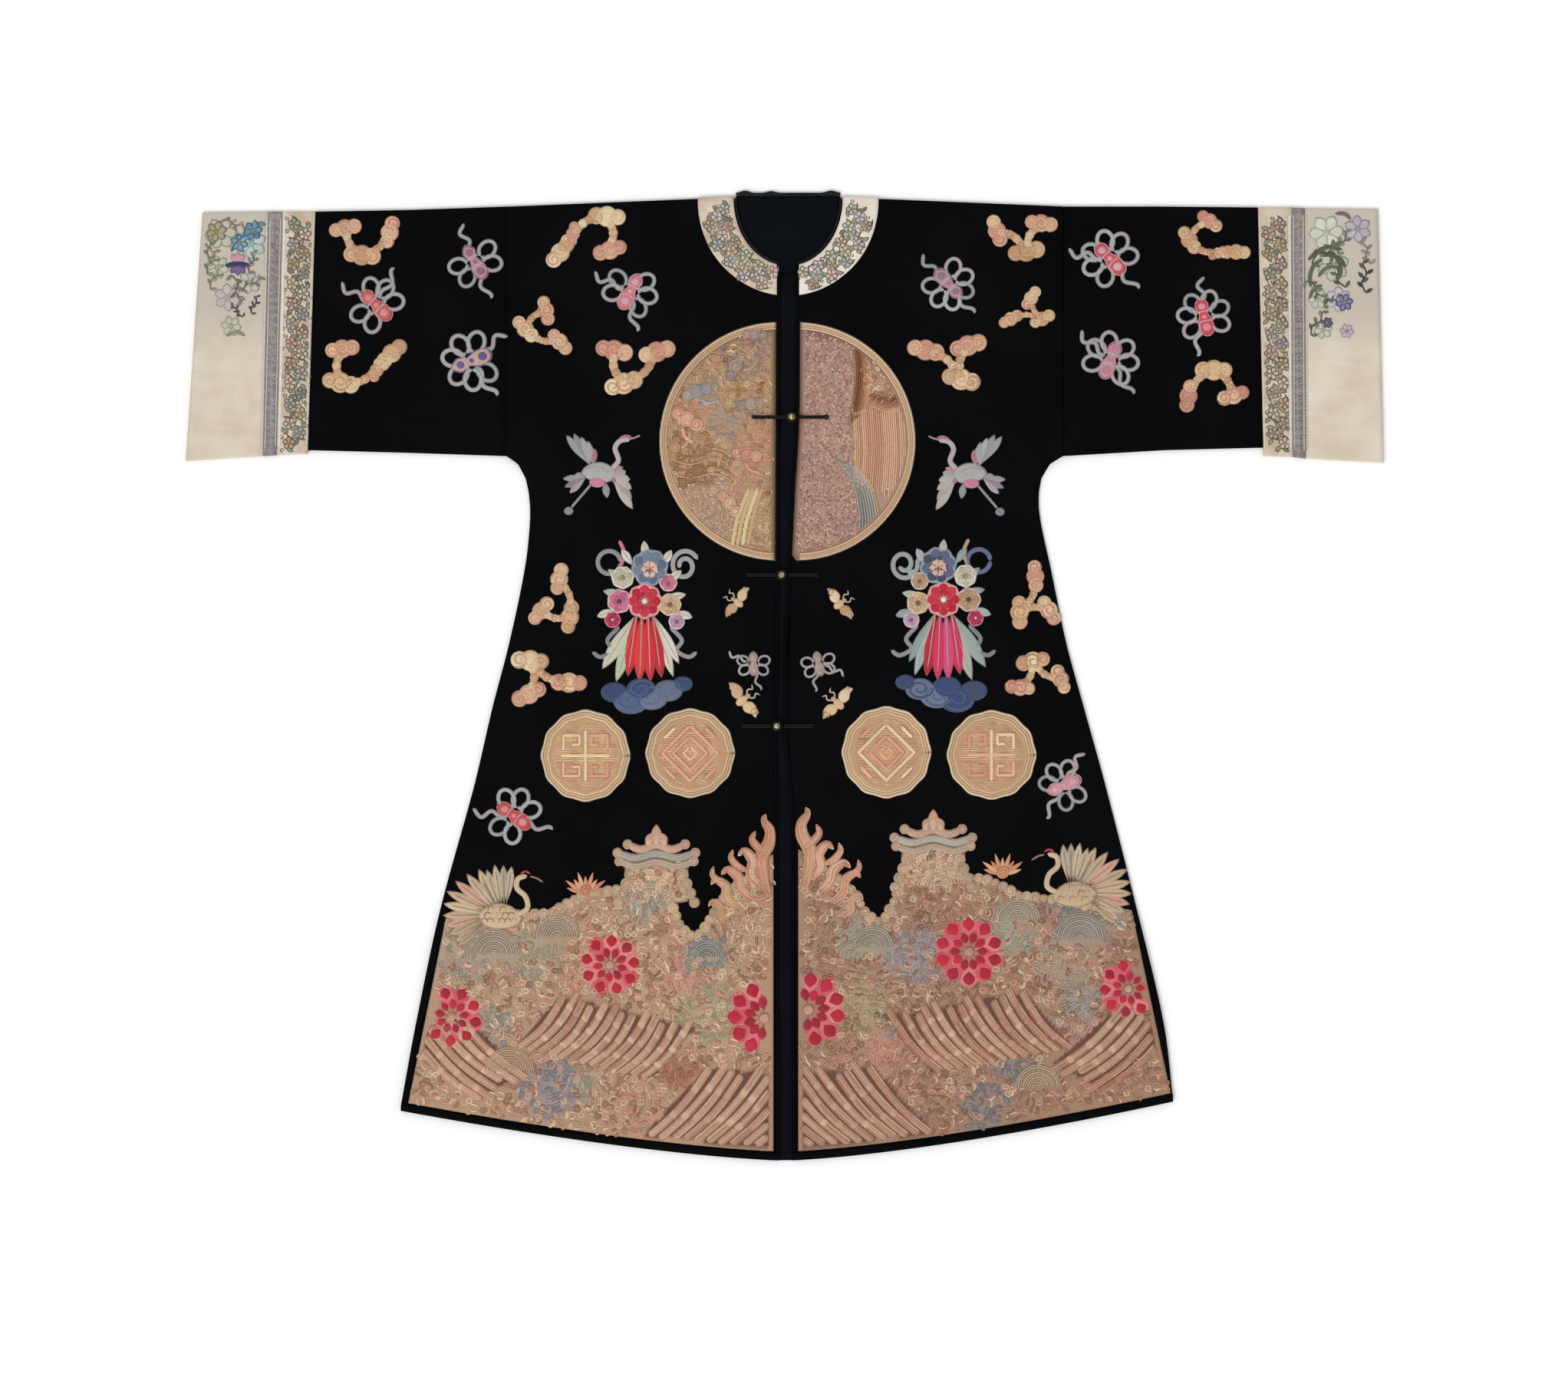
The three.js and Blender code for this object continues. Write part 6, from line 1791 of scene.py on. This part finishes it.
# Sprays on the cuffs: a kind, a place, a size, a turn in degrees and two or three dyes. The pale blooms lie
# under the leaves.
CUFF_SPRAYS = rows(
    "kind x y size turn dyes",
    ("bloom", -668, 524, 20, 5, ("#c6c1b0", "#a09c86")),
    ("bloom", -632, 512, 19, 25, ("#b9c6c2", "#93adb0")),
    ("bloom", -672, 484, 15, 45, ("#c4c1ae", "#a8aa90")),
    ("bloom", -634, 466, 15, 15, ("#c4beb2", "#a8a296")),
    ("bloom", -660, 448, 17, 35, ("#c2bab0", "#aaa298")),
    ("bloom", -656, 414, 13, 50, ("#c4c0b0", "#b0ac9c")),
    ("bloom", 642, 525, 22, 5, ("#d0d1c3", "#b3b8a4")),
    ("bloom", 679, 529, 17, 35, ("#b9b0b8", "#988f9a")),
    ("bloom", 650, 486, 20, 20, ("#bec1b0", "#9ca28e")),
    ("bloom", 632, 446, 13, 0, ("#c6c8ba", "#a8ac98")),
    ("bloom", 656, 446, 16, 30, ("#c4c2c4", "#a8a4b0")),
    ("bloom", 638, 410, 12, 15, ("#c2c4b8", "#a0a494")),
    ("blossom", -673, 526, 13, 17, ("#a89e80", "#6f6648")),
    ("leaves", -638, 520, 17, 38, ("#5f8a9c", "#35627c", "#7aa0ac")),
    ("blossom", -630, 527, 12, 10, ("#6a92a4", "#2f587a")),
    ("blossom", -646, 513, 11, 40, ("#7fa4ac", "#35627c")),
    ("blade", -656, 502, 38, 40, ("#4a7a90", "#2a5068")),
    ("iris", -648, 487, 15, 0, ("#c995a0", "#2f3460", "#7a5a8c")),
    ("leaves", -682, 506, 11, 80, ("#8f8f78", "#77775f", "#a5a28a")),
    ("leaves", -656, 536, 11, -20, ("#9a9684", "#7f7b68", "#aca894")),
    ("leaves", -680, 488, 12, 60, ("#8f967c", "#717a60", "#a5aa90")),
    ("leaves", -632, 488, 11, 70, ("#8f8c7c", "#706c5c", "#a09c8a")),
    ("leaves", -676, 470, 12, 60, ("#a09a8a", "#86806e", "#b3ad9c")),
    ("leaves", -650, 460, 14, -80, ("#8a867c", "#6a665c", "#9c988c")),
    ("leaves", -632, 464, 11, 23, ("#8f8c80", "#706c60", "#a09c90")),
    ("leaves", -648, 431, 8, 126, ("#5c4248", "#46323a", "#77686a")),
    ("leaves", -629, 438, 9, 63, ("#5a5450", "#443f3c", "#77726a")),
    ("blade", -662, 402, 22, 8, ("#93997f", "#7a8068")),
    ("blade", 620, 492, 42, 24, ("#5c6350", "#464d3c")),
    ("blade", 623, 460, 36, 74, ("#636a56", "#4c5242")),
    ("blade", 636, 498, 32, -20, ("#565e4a", "#41483a")),
    ("blade", 652, 496, 28, -78, ("#616955", "#4a5142")),
    ("blade", 632, 472, 26, 34, ("#6a7060", "#515848")),
    ("blade", 622, 446, 22, 54, ("#6f7565", "#575d4e")),
    ("blade", 652, 547, 20, -14, ("#77756c", "#5e5c54")),
    ("leaves", 638, 500, 16, 29, ("#656b57", "#4a5040", "#777d69")),
    ("leaves", 656, 474, 15, 110, ("#656b57", "#4a5040", "#777d69")),
    ("leaves", 628, 458, 13, -52, ("#7a7c68", "#5c6050", "#8a8c78")),
    ("leaves", 660, 512, 12, 60, ("#8a8e7c", "#6c7060", "#9ca08c")),
    ("leaves", 687, 470, 15, 84, ("#43463e", "#34372f", "#5a5e54")),
    ("blossom", 663, 442, 11, 12, ("#7d7aa0", "#34356a")),
    ("leaves", 648, 444, 10, 22, ("#6a7066", "#50564c", "#7f857a")),
    ("leaves", 630, 416, 13, 52, ("#6f7462", "#555a4a", "#848974")),
    ("blossom", 643, 418, 7, 50, ("#6f6284", "#3f3460")),
    ("blossom", 666, 408, 9, 52, ("#c2b5bf", "#a89cae")),
    ("leaves", 690, 500, 12, 100, ("#a09a8c", "#857f70", "#b0aa9c")),
)
OVER_BLOOM = 0.5
for side, sign in SIGN.items():
    work = Stitching()
    for row in CUFF_SPRAYS:
        x, y, size, turn, dyes = row["x"], row["y"], row["size"], math.radians(row["turn"]), row["dyes"]
        if x * sign < 0:
            continue
        if row["kind"] == "bloom":
            blossom(work, x, y, size, 6, *dyes, turn, 1.4, heart=dyes[1])
        elif row["kind"] == "blossom":
            blossom(work, x, y, size, 6, *dyes, turn, 1.2, OVER_BLOOM)
        elif row["kind"] == "blade":
            knots = turned([(0, 0), (0.35, 0.12), (0.7, 0.1), (1, -0.12)], x, y, turn, size)
            work.line(curve_through(*knots), 5.0, dyes[0], 0.5, OVER_BLOOM, ends=2.2)
            work.line(curve_through(*knots), 1.2, dyes[1], 0.3, OVER_BLOOM + 0.4, ends=1.0, fine=True)
        elif row["kind"] == "iris":
            for lean in (60, 90, 120):
                edged_leaf(work, x, y, size, size * 0.5, math.radians(lean), dyes[0], "#a87884", 0.6)
            for lean in (230, 270, 310):
                edged_leaf(work, x, y, size * 0.9, size * 0.5, math.radians(lean), dyes[2], dyes[1], 0.6)
            rim = curve_through((x - size, y - 2), (x, y + 1), (x + size, y - 2))
            work.line(rim, 6.0, dyes[1], 0.6, 0.3, ends=1.0)
        else:
            stem = turned([(-1.1, -0.2), (-0.3, 0.2), (0.4, -0.1), (1.2, 0.3)], x, y, turn, size)
            work.line(curve_through(*stem, step=1.5), 1.8, dyes[1], 0.4, OVER_BLOOM, fine=True)
            for k, place in enumerate(curve_through(*stem, step=size * 0.34)):
                angle = turn + (0.9 if k % 2 else -0.9)
                leaf = (*place, size * 0.66, size * 0.3, angle, dyes[k % 3], dyes[1])
                edged_leaf(work, *leaf, rise=OVER_BLOOM)
    finish_piece(work.make(f"cuff_sprays_{side}", floss_silk), "cream_silk")

# The cords, frogs and buttons.
# Rolled black silk piping edges the neck, and puckers a little at the back. Each of the three frogs is two
# lengths of the same cord laid side by side, one looped round a gilt ball button and one ending in a knot.
NECK_CORD = 1.4
NECK_CORD_END = 480
BACK_NECK_CORD = 1.7
PUCKERS = rows(
    "x wide rise",
    (-47, 6, 2.6), (-16, 6, 2.1), (55, 7, 2.6),
)
BUTTON_RADIUS = 4.5
FROG = {"wide": 4.4, "thick": 2, "ring": 2.4, "knob": 3}
BUTTONS = rows(
    "x y loop_end stem_end",
    (8, 306, -40, 52), (-3.9, 119, -46, 40), (-9.5, -60, -52, 34),
)
FROG_Z = float(under_z(0, 0, False)) + CLOTH + TRIM + 2 * GAP

look = {"Roughness": 0.55, "Specular_IOR_Level": 0.2, "Base_Color": linear("#0b0a0a")}
cord_silk, tree, shader = start_material("black_rolled_silk_cord", **look)
place = add_node(tree, "ShaderNodeTexCoord").outputs["Object"]
twist = add_node(tree, "ShaderNodeTexNoise", {"Vector": place, "Scale": 900.0, "Detail": 2.0})
finish_material(tree, shader, None, twist.outputs["Fac"], 0.4)


def cord_mesh(name, paths, radius, material):
    """Round closed cords along level paths."""
    sides, points, faces, uvs = 12, [], [], []
    for path in paths:
        path = np.asarray(path, dtype=float)
        step = np.gradient(path, axis=0)
        across = np.stack([-step[:, 1], step[:, 0], 0 * step[:, 0]], axis=1)
        across /= np.maximum(np.linalg.norm(across, axis=1, keepdims=True), 1e-9)
        angle = np.linspace(0, 2 * math.pi, sides, endpoint=False)
        taper = np.full(len(path), radius)
        taper[[0, -1]] = radius * 0.5
        rings = path[:, None] + across[:, None] * (taper[:, None] * np.cos(angle))[..., None]
        rings[..., 2] += taper[:, None] * np.sin(angle)
        base = sum(len(p) for p in points)
        index = base + np.arange(len(path) * sides).reshape(-1, sides)
        after = np.roll(index, -1, axis=1)
        faces += quads(index[:-1], after[:-1], after[1:], index[1:])[:, ::-1].tolist()
        faces += [index[0].tolist(), index[-1][::-1].tolist()]
        points.append(rings.reshape(-1, 3))
        along = distance_along(path)
        uvs.append(np.stack([np.repeat(along, sides), np.tile(angle * radius, len(path))], axis=1))
    return make_object(name, np.concatenate(points), faces, material, uv=np.concatenate(uvs))


for side, sign in SIGN.items():
    inset = NECK_CORD + GAP
    edge = float(opening_x[side](NECK_CORD_END)) + sign * 1.5
    angle = np.linspace(math.asin(abs(edge - MIDDLE) / (NECK["across"] - inset)), math.pi / 2 - 0.012, 60)
    x = MIDDLE + sign * (NECK["across"] - inset) * np.sin(angle)
    y = SHOULDER - (NECK["down"] - inset) * np.cos(angle)
    z = np.full_like(x, float(under_z(0, NECK_CORD_END, False)) + CLOTH + GAP)
    piece = cord_mesh(f"neck_piping_{side}", [np.stack([x, y, z], axis=1)], NECK_CORD, cord_silk)
    finish_piece(piece, "cord", f"neck_cord_{side}")
x = MIDDLE + np.linspace(-(NECK["across"] - 2), NECK["across"] - 2, 110)
rise = sum(row["rise"] * np.exp(-(((x - row["x"]) / row["wide"]) ** 2)) for row in PUCKERS)
back_y = SHOULDER + BACK_NECK_RISE + GAP + BACK_NECK_CORD
level = np.full_like(x, BACK_NECK_CORD + 0.7)
rolls = [np.stack([x, back_y + share * rise, level], axis=1) for share in (0.0, 0.5, 1.0)]
piece = cord_mesh("back_neck_piping", rolls, BACK_NECK_CORD, cord_silk)
finish_piece(piece, "cord", "back_neck_cord")

# Worn gilt: yellow brass under a thin gilding that has rubbed and dulled.
gilt, tree, shader = start_material("worn_gilt_brass", Roughness=0.42, Metallic=0.9)
place = add_node(tree, "ShaderNodeTexCoord").outputs["Object"]
colour, rub = mottle(tree, place, 420.0, 4.0, ("#6f6a52", "#c9bd92"), (0.38, 0.62))
finish_material(tree, shader, colour, rub, 0.3)

for number, row in enumerate(BUTTONS, 1):
    level = FROG_Z + FROG["thick"] / 2
    half, radius = FROG["wide"] / 4, FROG["wide"] / 4 - 0.08
    reach = BUTTON_RADIUS + FROG["ring"] / 2
    turn = np.linspace(math.pi + math.asin(half / reach), 3 * math.pi - math.asin(half / reach), 40)
    ring = arc(row["x"], row["y"], turn, reach, reach)
    start = straight_path([(row["loop_end"] + 0.5, row["y"] - half), ring[0]], 2)[:-1]
    end = straight_path([ring[-1], (row["loop_end"] + 0.5, row["y"] + half)], 2)[1:]
    loop = np.concatenate([start, ring, end])
    loop = np.column_stack([loop, np.full(len(loop), level)])
    piece = cord_mesh(f"frog_cord_loop_{number}", [loop], radius, cord_silk)
    finish_piece(piece, "cord", f"frog_loop_{number}")
    start = row["x"] + BUTTON_RADIUS + FROG["ring"] + GAP + 0.3
    end = row["stem_end"] - FROG["knob"]
    bars = [straight_path([(start, row["y"] + k * half), (end, row["y"] + k * half)], 2) for k in (-1, 1)]
    knot = ring_path(end + 0.2, row["y"], FROG["knob"] - radius, 1.0, 22)
    paths = [np.column_stack([path, np.full(len(path), level)]) for path in (*bars, knot)]
    piece = cord_mesh(f"frog_cord_stem_{number}", paths, radius, cord_silk)
    finish_piece(piece, "cord", f"frog_stem_{number}")

    around = np.linspace(0, 2 * math.pi, 32, endpoint=False)
    polar, turn = np.meshgrid(np.linspace(0.02, math.pi - 0.02, 20), around, indexing="ij")
    flute = BUTTON_RADIUS * (1 - 0.025 * (1 - np.cos(8 * turn)) * np.sin(polar) ** 2)
    x, y = flute * np.sin(polar) * np.cos(turn), flute * np.sin(polar) * np.sin(turn)
    z = FROG_Z + BUTTON_RADIUS + flute * np.cos(polar)
    ball = np.stack([row["x"] + x, row["y"] + y, z], axis=-1)
    index = np.arange(polar.size).reshape(polar.shape)
    after = np.roll(index, -1, axis=1)
    faces = quads(index[:-1], index[1:], after[1:], after[:-1]).tolist()
    faces += [index[0].tolist(), index[-1][::-1].tolist()]
    piece = make_object(f"gilt_button_{number}", ball.reshape(-1, 3), faces, gilt)
    finish_piece(piece, "button_brass", f"button_{number}")
